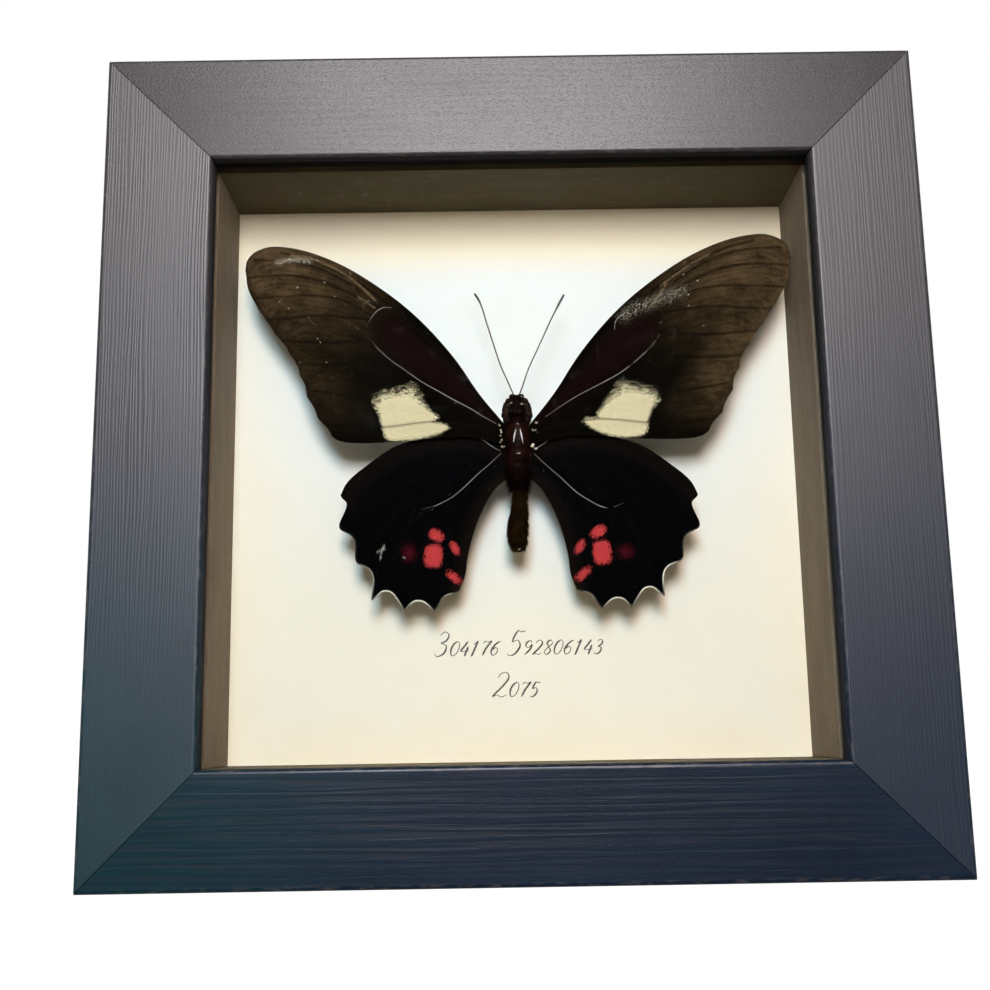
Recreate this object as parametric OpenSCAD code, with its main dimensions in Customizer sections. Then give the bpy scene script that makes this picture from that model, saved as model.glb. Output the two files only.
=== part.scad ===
// Butterfly display case: a deep mitred wood frame with a glass front, a liner that holds the glass
// off a papered mount board, one spread specimen on the board, and a back held by turn buttons.
// Millimetres. +Z is up, the glass faces -Y, and the origin is the middle of the frame's underside.

/* [Frame] */
// Width of the glass, the mount board and the back panel
glass_w = 101.6; // [101:0.1:150]
// Height of the glass, the mount board and the back panel
glass_h = 101.6; // [96:0.1:150]
// Free space round the glass, the mount board and the back panel
insert_gap = 0.4; // [0.2:0.1:0.8]
// Width of the solid part of the moulding, beside the rebate
wall_w = 12.3; // [9.5:0.1:18]
// How far the lip covers the edge of the rebate
lip_cover = 4.5; // [3.6:0.1:5]
// Thickness of the lip in front of the glass
lip_t = 3.6; // [2.6:0.1:5]
// Rounding of the moulding's two front edges
arris_r = 0.6; // [0.2:0.1:1.2]
// Glue gap at each mitre
mitre_gap = 0.1; // [0.05:0.01:0.2]
// Depth left behind the back panel
back_recess = 0.2; // [0:0.1:1]

/* [Glass, liner and back] */
// Thickness of the glass
glass_t = 2; // [1.5:0.1:3]
// Depth of the liner, from the glass to the paper
liner_d = 16.4; // [15:0.1:24]
// Gap where two liner strips meet
liner_gap = 0.1; // [0.05:0.01:0.3]
// Thickness of the mount paper
paper_t = 0.3; // [0.2:0.05:0.6]
// Thickness of the foam mount board
board_t = 5; // [3:0.5:6]
// Thickness of the back panel
panel_t = 3; // [2:0.1:4]

/* [Corner fasteners] */
// Length of each leg of a V nail
v_nail_leg = 5; // [3:0.1:6]
// Thickness of a V nail's sheet
v_nail_t = 0.6; // [0.4:0.1:1]
// Height of a V nail, along the depth of the frame
v_nail_h = 7; // [5:0.5:12]
// How far a V nail is driven below the back of the frame
v_nail_sink = 0.4; // [0:0.1:1]

/* [Turn buttons] */
// Distance between the two buttons on one stile
button_spacing = 56; // [36:1:66]
// Width of a button at its screw
button_w = 9; // [7:0.5:11]
// Width of a button at its free end
button_tip_w = 6.4; // [4:0.2:8]
// Distance from the screw to the centre of the free end
button_reach = 11; // [9:0.5:14]
// Thickness of a button
button_t = 1; // [0.6:0.1:1.6]
// Height of the pressed rib along a button
button_rib = 0.4; // [0.2:0.1:0.6]
// Space under a button, and under its screw head, in which it turns
button_play = 0.1; // [0.05:0.01:0.2]
// Space round the screw in a button's hole
pivot_clearance = 0.06; // [0.04:0.01:0.1]

/* [Screws] */
// Radius of a screw's shank
screw_r = 1.4; // [1.1:0.1:1.8]
// How deep a screw goes into the frame
screw_len = 10; // [7:0.5:14]
// Radius of a screw's head
screw_head_r = 2.7; // [2.2:0.1:3]
// Height of a screw's head
screw_head_h = 1.4; // [1:0.1:2]
// Space round screws, nails and V nails in the wood
driven_gap = 0.05; // [0.02:0.01:0.1]

/* [Hanger] */
// Length of the hanger
hanger_w = 45; // [40:1:60]
// Height of the hanger
hanger_h = 8.4; // [6:0.2:9]
// Thickness of the hanger's sheet
hanger_t = 0.8; // [0.5:0.1:1.2]
// Space behind the bowed middle, for the head of a wall nail
hanger_bow = 1.6; // [1:0.1:2]
// Length of each flat foot
hanger_foot = 8; // [6:0.5:10]
// Length of the bend from a foot to the bowed middle
hanger_ramp = 3; // [2:0.5:4]
// Corner rounding of the hanger
hanger_corner_r = 1.6; // [0.5:0.1:2.5]
// Distance from tooth to tooth
tooth_pitch = 1.9; // [1.4:0.1:3]
// Depth of the teeth
tooth_depth = 1.4; // [0.8:0.1:2]
// Radius of a nail's shank
nail_r = 0.6; // [0.5:0.05:0.8]
// How deep a nail goes into the rail
nail_len = 9; // [6:0.5:12]
// Radius of a nail's head
nail_head_r = 1.6; // [1.2:0.1:2]
// Height of a nail's head
nail_head_h = 0.7; // [0.4:0.1:1]

/* [Wall bumpers] */
// Radius of a bumper pad
bumper_r = 4; // [3:0.1:4.6]
// Height of a bumper pad
bumper_h = 2; // [1:0.1:2.4]
// Distance from the frame's side to the middle of a pad
bumper_inset = 16; // [14:0.5:24]

/* [Specimen] */
// Gap between the left wing tip and the liner
left_tip_gap = 2.9; // [1:0.1:12]
// Gap between the right wing tip and the liner
right_tip_gap = 0.7; // [0.6:0.1:12]
// Place of the body's middle line, from the middle of the window
specimen_x = 0.4; // [-0.6:0.1:1]
// How far the specimen is raised above its usual place in the window
specimen_up = 0; // [-8:0.5:4]
// Height of the body's axis above the paper
body_height = 6.8; // [5.6:0.1:9]
// How far the forewings lie in front of the body's axis
forewing_rise = 1.2; // [0.9:0.1:1.6]
// How far the hindwings lie in front of the body's axis
hindwing_rise = 0.3; // [0:0.1:0.4]
// Thickness of a wing at its margin
wing_t = 0.25; // [0.15:0.05:0.35]
// Extra thickness of a wing along its veins
vein_t = 0.2; // [0.1:0.05:0.3]
// Radius of an antenna
antenna_r = 0.11; // [0.08:0.01:0.2]
// Radius of an antenna's club
club_r = 0.22; // [0.14:0.02:0.4]
// Radius of an eye
eye_r = 0.9; // [0.7:0.05:1.1]
// Width of the foam block under the thorax
block_w = 5.6; // [5.2:0.1:8]
// Height of the foam block
block_h = 7; // [5:0.5:9]
// Space between soft or rounded neighbours
seat_gap = 0.1; // [0.05:0.01:0.2]

/* [Hidden] */
$fn = 48;

// Sizes across the frame
rebate_w = glass_w + 2 * insert_gap;
rebate_h = glass_h + 2 * insert_gap;
frame_w = rebate_w + 2 * wall_w;
frame_h = rebate_h + 2 * wall_w;
face_w = wall_w + lip_cover;
liner_t = lip_cover - insert_gap;
room_w = glass_w - 2 * liner_t;
room_h = glass_h - 2 * liner_t;
mid_z = frame_h / 2;

// Places through the depth, from the front of the frame to its back
frame_d = lip_t + glass_t + liner_d + paper_t + board_t + panel_t + back_recess;
front_y = -frame_d / 2;
back_y = frame_d / 2;
glass_y = front_y + lip_t;
liner_y = glass_y + glass_t;
paper_y = liner_y + liner_d;
board_y = paper_y + paper_t;
panel_y = board_y + board_t;

// Hardware on the back
button_y = back_y + button_play;
screw_head_y = button_y + button_t + button_play;
fastener_x = frame_w / 2 - wall_w / 2;
hanger_z = frame_h - wall_w / 2;
hanger_hole_x = hanger_w / 2 - hanger_foot / 2;
teeth_w = hanger_w - 2 * hanger_foot - 2 * hanger_ramp;
hole_relief = 0.5;
cut = 1;

// A specimen is chosen to fill the shorter side of the room inside the liner, wing tip to wing tip.
// Its two forewings are never quite alike, so each has a reach of its own
room = min(room_w, room_h);
left_reach = room / 2 + specimen_x - left_tip_gap;
right_reach = room / 2 - specimen_x - right_tip_gap;
wingspan = left_reach + right_reach;

// It is drawn with this reach to either side, from the middle of its body and of the window,
// as [outwards, up], and is scaled to the room
drawn_reach = 44.4;
size_k = wingspan / (2 * drawn_reach);
body_y = paper_y - body_height;

// Front edge, hind edge and margin of a forewing, from its root to its tip
fore_costa = [[2.5, 7], [6, 11.7], [10, 17.8], [15, 23.8], [20.5, 28.8], [27.5, 33.6], [34, 36.5],
    [39.5, 37.5], [42.9, 36.8], [drawn_reach, 34.8]];
fore_dorsum = [[2.5, 4.6], [8, 5.5], [14, 4.6], [20, 4], [26, 3.9], [28.8, 4.3], [30, 5.1]];
fore_margin = [[drawn_reach, 34.8], [43.9, 30.4], [42, 26.4], [39.4, 22.4], [37, 19], [35.2, 15.2],
    [34, 11.6], [32.2, 8], [30, 5.1]];
fore_cells = 8;
fore_scallop = 0.35;

// Front edge and inner edge of a hindwing, the tips of its teeth, and the notches between them
hind_costa = [[2.45, 3.2], [8, 5], [15, 4.6], [20.2, 3.1], [25, -0.3], [27.4, -2.8], [28, -4.8]];
hind_dorsum = [[2.45, -0.6], [3.5, -3.3], [5.8, -7.4], [7.4, -11.2], [8.1, -14.6], [8.3, -17.6],
    [9.4, -20]];
hind_teeth = [[28, -4.8], [28.4, -9.8], [25.6, -15.4], [22.8, -21.4], [17.7, -22.8], [13, -22.8],
    [9.4, -20]];
hind_notches = [[27, -6.3], [25.6, -11.5], [22.8, -16.4], [20.3, -19.4], [15.6, -21.1],
    [10.9, -20.2]];
hind_cells = len(hind_notches);

// How far a wing's margin bows forwards, and how far its inner edge folds back
fore_bow = 0.6;
fore_fold = 0.2;
hind_bow = 0.2;
hind_fold = 1;

// The hindwings' shoulders lie a little to the right of their drawn place, their lower teeth to the left
shoulder_shift = 0.12;
teeth_shift = -0.4;
teeth_from = 0.5;

// Grid steps of a wing: columns in each cell, and rows from root to margin
hind_cell_steps = 6;
fore_cell_steps = 5;
wing_rows = 12;

// Outlines of the body's parts, as [radius, up], from the top down
head_outline = [[0, 11.6], [0.8, 11.35], [1.2, 10.7], [1.3, 9.8], [0.95, 8.8], [0, 8.45]];
thorax_outline = [[0, 8.3], [1.4, 7.9], [2.1, 6.6], [2.35, 4.4], [2.25, 2], [1.8, -0.8],
    [1.3, -3], [0, -3.6]];
abdomen_outline = [[0, -3.7], [1.1, -4.2], [1.3, -6], [1.5, -8.5], [1.7, -11], [1.5, -13],
    [0.8, -14.2], [0, -14.5]];
thorax_r = 2.35;
eye_x = 1.35;
eye_up = 9.8;
eye_front = 0.2;
abdomen_rings = 8;
abdomen_groove = 0.07;
abdomen_lean = 1.6;
block_up = 2.8;
block_front = 1.2;

// Routes of the antennae, from the body's middle line, as [sideways, up]
antenna_left_route = [[-0.7, 11.7], [-1.9, 14], [-3, 16.7], [-4.1, 20], [-5, 23.2], [-5.5, 25.3],
    [-6.1, 26.6], [-6.8, 27.6]];
antenna_right_route = [[0.3, 11.8], [0.8, 13], [1.7, 14.9], [2.9, 17.2], [4.4, 20.4], [5.9, 23.8],
    [6.6, 25.6], [7.5, 27.2]];
antenna_rings = 14;
antenna_sides = 8;
antenna_lift = 1.4;

// Point at share t of a smooth curve through the points p
function spline(p, t) =
    let (n = len(p) - 1, i = min(floor(t * n), n - 1), f = t * n - i)
    let (b = p[i], c = p[i + 1])
    let (a = i > 0 ? p[i - 1] : 2 * b - c)
    let (d = i < n - 1 ? p[i + 2] : 2 * c - b)
    0.5 * (2 * b + (c - a) * f + (2 * a - 5 * b + 4 * c - d) * f * f
        + (3 * b - a - 3 * c + d) * f * f * f);

// Point at share s of the forewing's margin: a smooth curve drawn in a little between the veins
function fore_edge(s) =
    let (p = spline(fore_margin, s), inwards = fore_costa[0] - p)
    p + inwards / norm(inwards) * fore_scallop * abs(sin(180 * fore_cells * s));

// Point at share s of the hindwing's margin: one parabola from tooth to tooth through each notch
function hind_edge(s) =
    let (i = min(floor(s * hind_cells), hind_cells - 1), t = s * hind_cells - i)
    let (a = hind_teeth[i], b = hind_teeth[i + 1], k = 2 * hind_notches[i] - (a + b) / 2)
    (1 - t) * (1 - t) * a + 2 * t * (1 - t) * k + t * t * b;

// Point of a wing at share s from the front edge to the hind edge and share r from root to margin,
// blended between its four edges
function wing_point(s, r, costa, dorsum, edge) =
    let (c = spline(costa, r), d = spline(dorsum, r), root = costa[0] + (dorsum[0] - costa[0]) * s)
    (1 - r) * root + r * edge(s) + (1 - s) * c + s * d
        - (1 - s) * ((1 - r) * costa[0] + r * edge(0)) - s * ((1 - r) * dorsum[0] + r * edge(1));

// How much a vein shows at share s: 1 on a vein, 0 between two
function vein(s, cells) = pow(abs(cos(180 * cells * s)), 12);

// A list of lists joined end to end
function joined(rows) = [for (row = rows) each row];

// Points and halves of a closed sheet: its front grid, then its back grid
module sheet(front, back) {
    n = len(front) - 1;
    m = len(front[0]) - 1;
    w = m + 1;
    half = (n + 1) * w;
    faces = joined([
        for (i = [0:n - 1], j = [0:m - 1])
            let (a = i * w + j, b = a + 1, c = a + w, d = c + 1)
            [[a, b, d], [a, d, c], [half + a, half + d, half + b], [half + a, half + c, half + d]],
        for (j = [0:m - 1])
            let (a = j, b = j + 1, c = n * w + j, d = c + 1)
            [[a, half + a, half + b], [a, half + b, b], [c, half + d, half + c], [c, d, half + d]],
        for (i = [0:n - 1])
            let (a = i * w, c = a + w, b = a + m, d = b + w)
            [[a, c, half + c], [a, half + c, half + a], [b, half + b, half + d], [b, half + d, d]]
    ]);
    polyhedron(points = concat(joined(front), joined(back)), faces = faces);
}

// One wing: its surface rises and falls a little from cell to cell and is thicker on its veins;
// drift(s) moves its margin sideways
module wing(costa, dorsum, edge, cells, steps, bow, fold, drift = function (s) 0) {
    columns = cells * steps;
    pleat = 0.12;
    root_t = 0.25;
    grid = [for (i = [0:columns]) [for (j = [0:wing_rows])
        let (s = i / columns, r = j / wing_rows, p = wing_point(s, r, costa, dorsum, edge))
        let (t = wing_t + vein_t * vein(s, cells) * (1 - 0.7 * r) + root_t * pow(1 - r, 3))
        let (y = fold * pow(s, 6) * r - bow * r * r - pleat * cos(360 * cells * s) * r)
        [p[0] + drift(s) * r, y, p[1], t / 2]]];
    front = [for (row = grid) [for (p = row) [p[0], p[1] - p[3], p[2]]]];
    back = [for (row = grid) [for (p = row) [p[0], p[1] + p[3], p[2]]]];
    sheet(front, back);
}

// A tapering round rod along a route in the plane of the window, thicker near its end
module feeler(route) {
    club_start = 0.8;
    rings = [for (k = [0:antenna_rings])
        let (t = k / antenna_rings, p = spline(route, t))
        let (ahead = spline(route, min(1, t + 0.02)) - spline(route, max(0, t - 0.02)))
        let (side = [ahead[1], -ahead[0]] / norm(ahead))
        let (club = max(0, (t - club_start) / (1 - club_start)))
        let (r = antenna_r + (club_r - antenna_r) * sin(150 * club))
        [for (q = [0:antenna_sides - 1])
            let (a = 360 * q / antenna_sides)
            [p[0] + r * cos(a) * side[0], -antenna_lift * t + r * sin(a), p[1] + r * cos(a) * side[1]]]];
    sides = antenna_sides;
    walls = joined([for (k = [0:antenna_rings - 1], q = [0:sides - 1])
        let (a = k * sides + q, b = k * sides + (q + 1) % sides)
        [[a, a + sides, b + sides], [a, b + sides, b]]]);
    start = [for (q = [0:sides - 1]) q];
    end = [for (q = [0:sides - 1]) antenna_rings * sides + sides - 1 - q];
    polyhedron(points = joined(rings), faces = concat(walls, [start, end]));
}

// Turned solid from an outline of [radius, up], with shallow rings cut into it
module turned(outline, steps, rings = 0, groove = 0) {
    profile = [for (i = [0:steps])
        let (t = i / steps, p = spline(outline, t))
        [i == 0 || i == steps ? 0 : max(0.05, p[0] - groove * pow(cos(180 * rings * t), 8)), p[1]]];
    rotate_extrude() polygon(profile);
}

// A flat outline in [across, up], as thick as t, with its front at depth y
module slab(y, t) {
    translate([0, y + t, 0]) rotate([90, 0, 0]) linear_extrude(t) children();
}

// A rectangle centred in the frame
module centred_sheet(w, h) {
    translate([-w / 2, mid_z - h / 2]) square([w, h]);
}

// Puts what is built along X with its outer face down at side 0 bottom, 1 right, 2 top or 3 left
module on_side(side) {
    reach = side % 2 == 0 ? frame_h / 2 : frame_w / 2;
    translate([0, 0, mid_z]) rotate([0, -90 * side, 0]) translate([0, 0, -reach]) children();
}

// Puts what is built along +Z at a place on the back of the frame, pointing backwards
module on_back(x, z) {
    translate([x, back_y, z]) rotate([-90, 0, 0]) children();
}

// Puts the specimen's parts at its middle line, at its size
module on_specimen() {
    translate([specimen_x, body_y, mid_z + specimen_up]) scale(size_k) children();
}

// The waste outside one rounded corner of radius r at the origin of a first quadrant
module corner_waste(r) {
    difference() {
        translate([-cut, -cut]) square([r + cut, r + cut]);
        translate([r, r]) circle(r);
    }
}

// Section of the moulding, as [depth, inwards]: a lip in front of a rebate, front edges rounded
module moulding_section() {
    difference() {
        translate([front_y, 0]) square([frame_d, face_w]);
        translate([glass_y, wall_w]) square([frame_d, face_w]);
        translate([front_y, 0]) corner_waste(arris_r);
        translate([front_y, face_w]) mirror([0, 1]) corner_waste(arris_r);
    }
}

// One length of moulding along X, outer face down, mitred at both ends
module mitred_bar(length) {
    long = length - sqrt(2) * mitre_gap;
    intersection() {
        translate([-length / 2, 0, 0]) rotate([90, 0, 90]) linear_extrude(length) moulding_section();
        slab(front_y - cut, frame_d + 2 * cut)
            polygon([[-long / 2 - cut, -cut], [long / 2 + cut, -cut],
                [long / 2 - face_w - cut, face_w + cut], [-long / 2 + face_w + cut, face_w + cut]]);
    }
}

// V nails at the four mitres; as slots they are a little wider and run out through the back
module v_nails(slots = false) {
    extra = slots ? driven_gap : 0;
    end_y = slots ? back_y + cut : back_y - v_nail_sink;
    start_y = back_y - v_nail_sink - v_nail_h - extra;
    for (x = [-1, 1], z = [-1, 1])
        translate([x * fastener_x, 0, mid_z + z * (mid_z - wall_w / 2)])
            slab(start_y, end_y - start_y)
                rotate(x * z > 0 ? (x > 0 ? 0 : 180) : (x > 0 ? -90 : 90))
                    v_outline(extra);
}

// Two legs that meet on the mitre, at 45 degrees to either side of it
module v_outline(extra) {
    t = v_nail_t + 2 * extra;
    leg = v_nail_leg + 2 * extra;
    shift = -v_nail_leg / 3 - extra;
    translate([shift, shift]) {
        square([leg, t]);
        square([t, leg]);
    }
}

// Screw built along +Z, its head resting on a button whose underside is button_play above zero
module button_screw() {
    head_z = screw_head_y - back_y;
    dome = [for (a = [0:15:90]) [screw_head_r * cos(a), head_z + screw_head_h * (0.3 + 0.7 * sin(a))]];
    cross_l = screw_head_r * 1.1;
    cross_t = 0.6;
    cross_d = screw_head_h * 0.6;
    difference() {
        rotate_extrude()
            polygon(concat([[0, -screw_len], [screw_r * 0.9, -screw_len * 0.75],
                [screw_r, -screw_len * 0.7], [screw_r, head_z], [screw_head_r, head_z]], dome));
        translate([-cross_l / 2, -cross_t / 2, head_z + screw_head_h - cross_d])
            cube([cross_l, cross_t, screw_head_h]);
        translate([-cross_t / 2, -cross_l / 2, head_z + screw_head_h - cross_d])
            cube([cross_t, cross_l, screw_head_h]);
    }
}

// The four places of the turn buttons: x is -1 left or 1 right, z is -1 lower or 1 upper
module at_button(x, z) {
    translate([x * fastener_x, 0, mid_z + z * button_spacing / 2]) children();
}

// Holes in a stile for the screws of its two buttons
module screw_holes(x) {
    for (z = [-1, 1])
        on_back(x * fastener_x, mid_z + z * button_spacing / 2)
            translate([0, 0, -screw_len - hole_relief])
                cylinder(r = screw_r + driven_gap, h = screw_len + hole_relief + cut);
}

// A turn button: a round plate at the screw that narrows to a round free end, with a pressed rib
module turn_button(x, z) {
    big = button_w / 2;
    small = button_tip_w / 2;
    lean = asin((big - small) / button_reach);
    rib_w = button_tip_w * 0.3;
    rib_start = big + rib_w / 2;
    color("#b9b6ae")
        at_button(x, z) mirror([x > 0 ? 1 : 0, 0, 0]) difference() {
            union() {
                slab(button_y, button_t) {
                    circle(big);
                    translate([button_reach, 0]) circle(small);
                    polygon([[big * sin(lean), big * cos(lean)],
                        [button_reach + small * sin(lean), small * cos(lean)],
                        [button_reach + small * sin(lean), -small * cos(lean)],
                        [big * sin(lean), -big * cos(lean)]]);
                }
                slab(button_y, button_t + button_rib) {
                    translate([rib_start, 0]) circle(rib_w / 2);
                    translate([button_reach, 0]) circle(rib_w / 2);
                    translate([rib_start, -rib_w / 2]) square([button_reach - rib_start, rib_w]);
                }
            }
            translate([0, button_y - cut, 0]) rotate([-90, 0, 0])
                cylinder(r = screw_r + pivot_clearance, h = button_t + 2 * cut);
        }
}

// Nail built along +Z, its head resting on the hanger
module hanger_nail() {
    rotate_extrude()
        polygon([[0, -nail_len], [nail_r, -nail_len + 2 * nail_r], [nail_r, hanger_t],
            [nail_head_r, hanger_t], [nail_head_r, hanger_t + nail_head_h * 0.6],
            [nail_head_r * 0.7, hanger_t + nail_head_h], [0, hanger_t + nail_head_h]]);
}

module rail_top() {
    color("#6f6d7a") difference() {
        on_side(2) mitred_bar(frame_w);
        v_nails(slots = true);
        for (x = [-1, 1])
            on_back(x * hanger_hole_x, hanger_z) translate([0, 0, -nail_len - hole_relief])
                cylinder(r = nail_r + driven_gap, h = nail_len + hole_relief + cut);
    }
}

module rail_bottom() {
    color("#34384c") difference() {
        on_side(0) mitred_bar(frame_w);
        v_nails(slots = true);
    }
}

module stile_left() {
    color("#50596c") difference() {
        on_side(3) mitred_bar(frame_h);
        v_nails(slots = true);
        screw_holes(-1);
    }
}

module stile_right() {
    color("#4b4e62") difference() {
        on_side(1) mitred_bar(frame_h);
        v_nails(slots = true);
        screw_holes(1);
    }
}

module corner_v_nails() {
    color("#8e9094") v_nails();
}

module glass_pane() {
    color("#d9ecec", 0.35) slab(glass_y, glass_t) centred_sheet(glass_w, glass_h);
}

// A liner strip across the top or bottom: z is 1 or -1
module liner_across(z) {
    color("#70685a") slab(liner_y, liner_d)
        translate([-glass_w / 2, mid_z + (z > 0 ? glass_h / 2 - liner_t : -glass_h / 2)])
            square([glass_w, liner_t]);
}

// A liner strip up one side, between the strips across: x is 1 or -1
module liner_up(x) {
    length = room_h - 2 * liner_gap;
    color("#7a7164") slab(liner_y, liner_d)
        translate([x > 0 ? glass_w / 2 - liner_t : -glass_w / 2, mid_z - length / 2])
            square([liner_t, length]);
}

module mount_paper() {
    color("#f3ead6") slab(paper_y, paper_t) centred_sheet(glass_w, glass_h);
}

module mount_board() {
    color("#f7f7f4") slab(board_y, board_t) centred_sheet(glass_w, glass_h);
}

module back_panel() {
    color("#7d5f43") slab(panel_y, panel_t) centred_sheet(glass_w, glass_h);
}

module turn_button_screws() {
    color("#c6c3ba") for (x = [-1, 1], z = [-1, 1])
        on_back(x * fastener_x, mid_z + z * button_spacing / 2) button_screw();
}

// The hanger's sheet bends from flat feet to a bowed middle with a toothed lower edge
module sawtooth_hanger() {
    half = hanger_w / 2;
    bend = half - hanger_foot;
    raised = bend - hanger_ramp;
    teeth = floor(teeth_w / tooth_pitch);
    corner = [half - hanger_corner_r, hanger_h / 2 - hanger_corner_r];
    color("#c9b98c") translate([0, 0, hanger_z]) difference() {
        intersection() {
            translate([0, back_y, -hanger_h / 2]) linear_extrude(hanger_h)
                polygon([[-half, 0], [-bend, 0], [-raised, hanger_bow], [raised, hanger_bow],
                    [bend, 0], [half, 0], [half, hanger_t], [bend, hanger_t],
                    [raised, hanger_bow + hanger_t], [-raised, hanger_bow + hanger_t],
                    [-bend, hanger_t], [-half, hanger_t]]);
            slab(back_y - cut, hanger_bow + hanger_t + 2 * cut) {
                for (x = [-1, 1], z = [-1, 1])
                    translate([x * corner[0], z * corner[1]]) circle(hanger_corner_r);
                translate([-half, -corner[1]]) square([hanger_w, 2 * corner[1]]);
                translate([-corner[0], -hanger_h / 2]) square([2 * corner[0], hanger_h]);
            }
        }
        slab(back_y - cut, hanger_bow + hanger_t + 2 * cut)
            for (i = [0:teeth - 1])
                translate([(i - (teeth - 1) / 2) * tooth_pitch, -hanger_h / 2])
                    polygon([[-tooth_pitch / 2, -cut], [tooth_pitch / 2, -cut], [tooth_pitch * 0.42, 0],
                        [0, tooth_depth], [-tooth_pitch * 0.42, 0]]);
        for (x = [-1, 1])
            translate([x * hanger_hole_x, back_y - cut, 0]) rotate([-90, 0, 0])
                cylinder(r = nail_r + driven_gap, h = hanger_t + 2 * cut);
    }
}

module hanger_nails() {
    color("#b8a878") for (x = [-1, 1])
        on_back(x * hanger_hole_x, hanger_z) hanger_nail();
}

module bumper_pads() {
    dome = [for (a = [0:15:90]) [bumper_r * (0.5 + 0.5 * cos(a)), bumper_h * sin(a)]];
    color("#2c2c2e") for (x = [-1, 1])
        on_back(x * (frame_w / 2 - bumper_inset), wall_w / 2)
            rotate_extrude() polygon(concat([[0, 0]], dome, [[0, bumper_h]]));
}

// Foam block glued to the paper, hollowed to cradle the thorax
module specimen_block() {
    cradle_r = thorax_r * size_k + seat_gap;
    block_y = body_y + block_front * size_k;
    color("#ece7da") translate([specimen_x, 0, mid_z + specimen_up + block_up]) difference() {
        slab(block_y, paper_y - block_y)
            translate([-block_w / 2, -block_h / 2]) square([block_w, block_h]);
        translate([0, body_y, -block_h / 2 - cut])
            cylinder(r = cradle_r, h = block_h + 2 * cut);
    }
}

module thorax() {
    color("#2a1512") on_specimen() turned(thorax_outline, 21);
}

module head() {
    color("#1c1210") on_specimen() difference() {
        turned(head_outline, 15);
        for (x = [-1, 1])
            translate([x * eye_x, -eye_front, eye_up]) sphere(eye_r + seat_gap);
    }
}

module eyes() {
    color("#3a1f14") on_specimen() for (x = [-1, 1])
        translate([x * eye_x, -eye_front, eye_up]) sphere(eye_r);
}

module abdomen() {
    pivot = abdomen_outline[0][1];
    color("#3b2c17") on_specimen() translate([0, 0, pivot]) rotate([0, abdomen_lean, 0])
        translate([0, 0, -pivot]) turned(abdomen_outline, 32, abdomen_rings, abdomen_groove);
}

// A forewing on one side, x is 1 or -1, made to its reach about its root
module forewing(x, reach) {
    root = [0, 0, fore_costa[0][1]];
    color("#241d1b") on_specimen() translate([0, -forewing_rise, 0]) mirror([x > 0 ? 0 : 1, 0, 0])
        translate(root) scale(reach / (size_k * drawn_reach)) translate(-root)
            wing(fore_costa, fore_dorsum, function (s) fore_edge(s), fore_cells, fore_cell_steps,
                fore_bow, fore_fold);
}

// Shift of the hindwings' margin to the right at share s of it, from shoulder to inner edge
function hind_shift(s) =
    shoulder_shift + (teeth_shift - shoulder_shift) * pow(min(1, s / teeth_from), 2);

// A hindwing on one side: x is 1 or -1
module hindwing(x) {
    color("#17181c") on_specimen() translate([0, -hindwing_rise, 0]) mirror([x > 0 ? 0 : 1, 0, 0])
        wing(hind_costa, hind_dorsum, function (s) hind_edge(s), hind_cells, hind_cell_steps,
            hind_bow, hind_fold, function (s) x * hind_shift(s));
}

module forewing_left() {
    forewing(-1, left_reach);
}

module forewing_right() {
    forewing(1, right_reach);
}

module hindwing_left() {
    hindwing(-1);
}

module hindwing_right() {
    hindwing(1);
}

module antenna_left() {
    color("#3a3128") on_specimen() feeler(antenna_left_route);
}

module antenna_right() {
    color("#3a3128") on_specimen() feeler(antenna_right_route);
}

rail_top();
rail_bottom();
stile_left();
stile_right();
corner_v_nails();
glass_pane();
liner_across(1);  // liner_top
liner_across(-1);  // liner_bottom
liner_up(-1);  // liner_left
liner_up(1);  // liner_right
mount_paper();
mount_board();
back_panel();
turn_button(-1, 1);  // turn_button_upper_left
turn_button(1, 1);  // turn_button_upper_right
turn_button(-1, -1);  // turn_button_lower_left
turn_button(1, -1);  // turn_button_lower_right
turn_button_screws();
sawtooth_hanger();
hanger_nails();
bumper_pads();
specimen_block();
thorax();
head();
eyes();
abdomen();
forewing_left();
forewing_right();
hindwing_left();
hindwing_right();
antenna_left();
antenna_right();
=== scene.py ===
import math

import bmesh
import bpy
import numpy as np
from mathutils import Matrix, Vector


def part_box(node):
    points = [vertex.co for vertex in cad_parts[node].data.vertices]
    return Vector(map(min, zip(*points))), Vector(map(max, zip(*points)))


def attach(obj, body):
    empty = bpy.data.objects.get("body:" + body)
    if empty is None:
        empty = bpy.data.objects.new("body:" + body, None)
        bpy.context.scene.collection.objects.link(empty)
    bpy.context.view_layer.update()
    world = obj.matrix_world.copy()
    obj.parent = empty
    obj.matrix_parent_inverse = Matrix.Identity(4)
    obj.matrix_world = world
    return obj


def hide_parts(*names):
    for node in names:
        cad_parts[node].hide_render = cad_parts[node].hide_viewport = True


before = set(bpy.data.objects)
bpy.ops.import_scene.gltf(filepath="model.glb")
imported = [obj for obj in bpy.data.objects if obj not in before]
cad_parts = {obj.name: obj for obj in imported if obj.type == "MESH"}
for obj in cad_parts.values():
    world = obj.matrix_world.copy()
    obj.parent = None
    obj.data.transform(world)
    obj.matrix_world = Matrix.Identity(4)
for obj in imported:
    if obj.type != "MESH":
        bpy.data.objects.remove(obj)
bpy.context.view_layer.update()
print("frame loaded,", len(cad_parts), "nodes")

mm = 0.001


def span(node, axis):
    # lowest and highest place of a node along axis 0, 1 or 2, in millimetres
    low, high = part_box(node)
    return low[axis] / mm, high[axis] / mm


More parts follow.
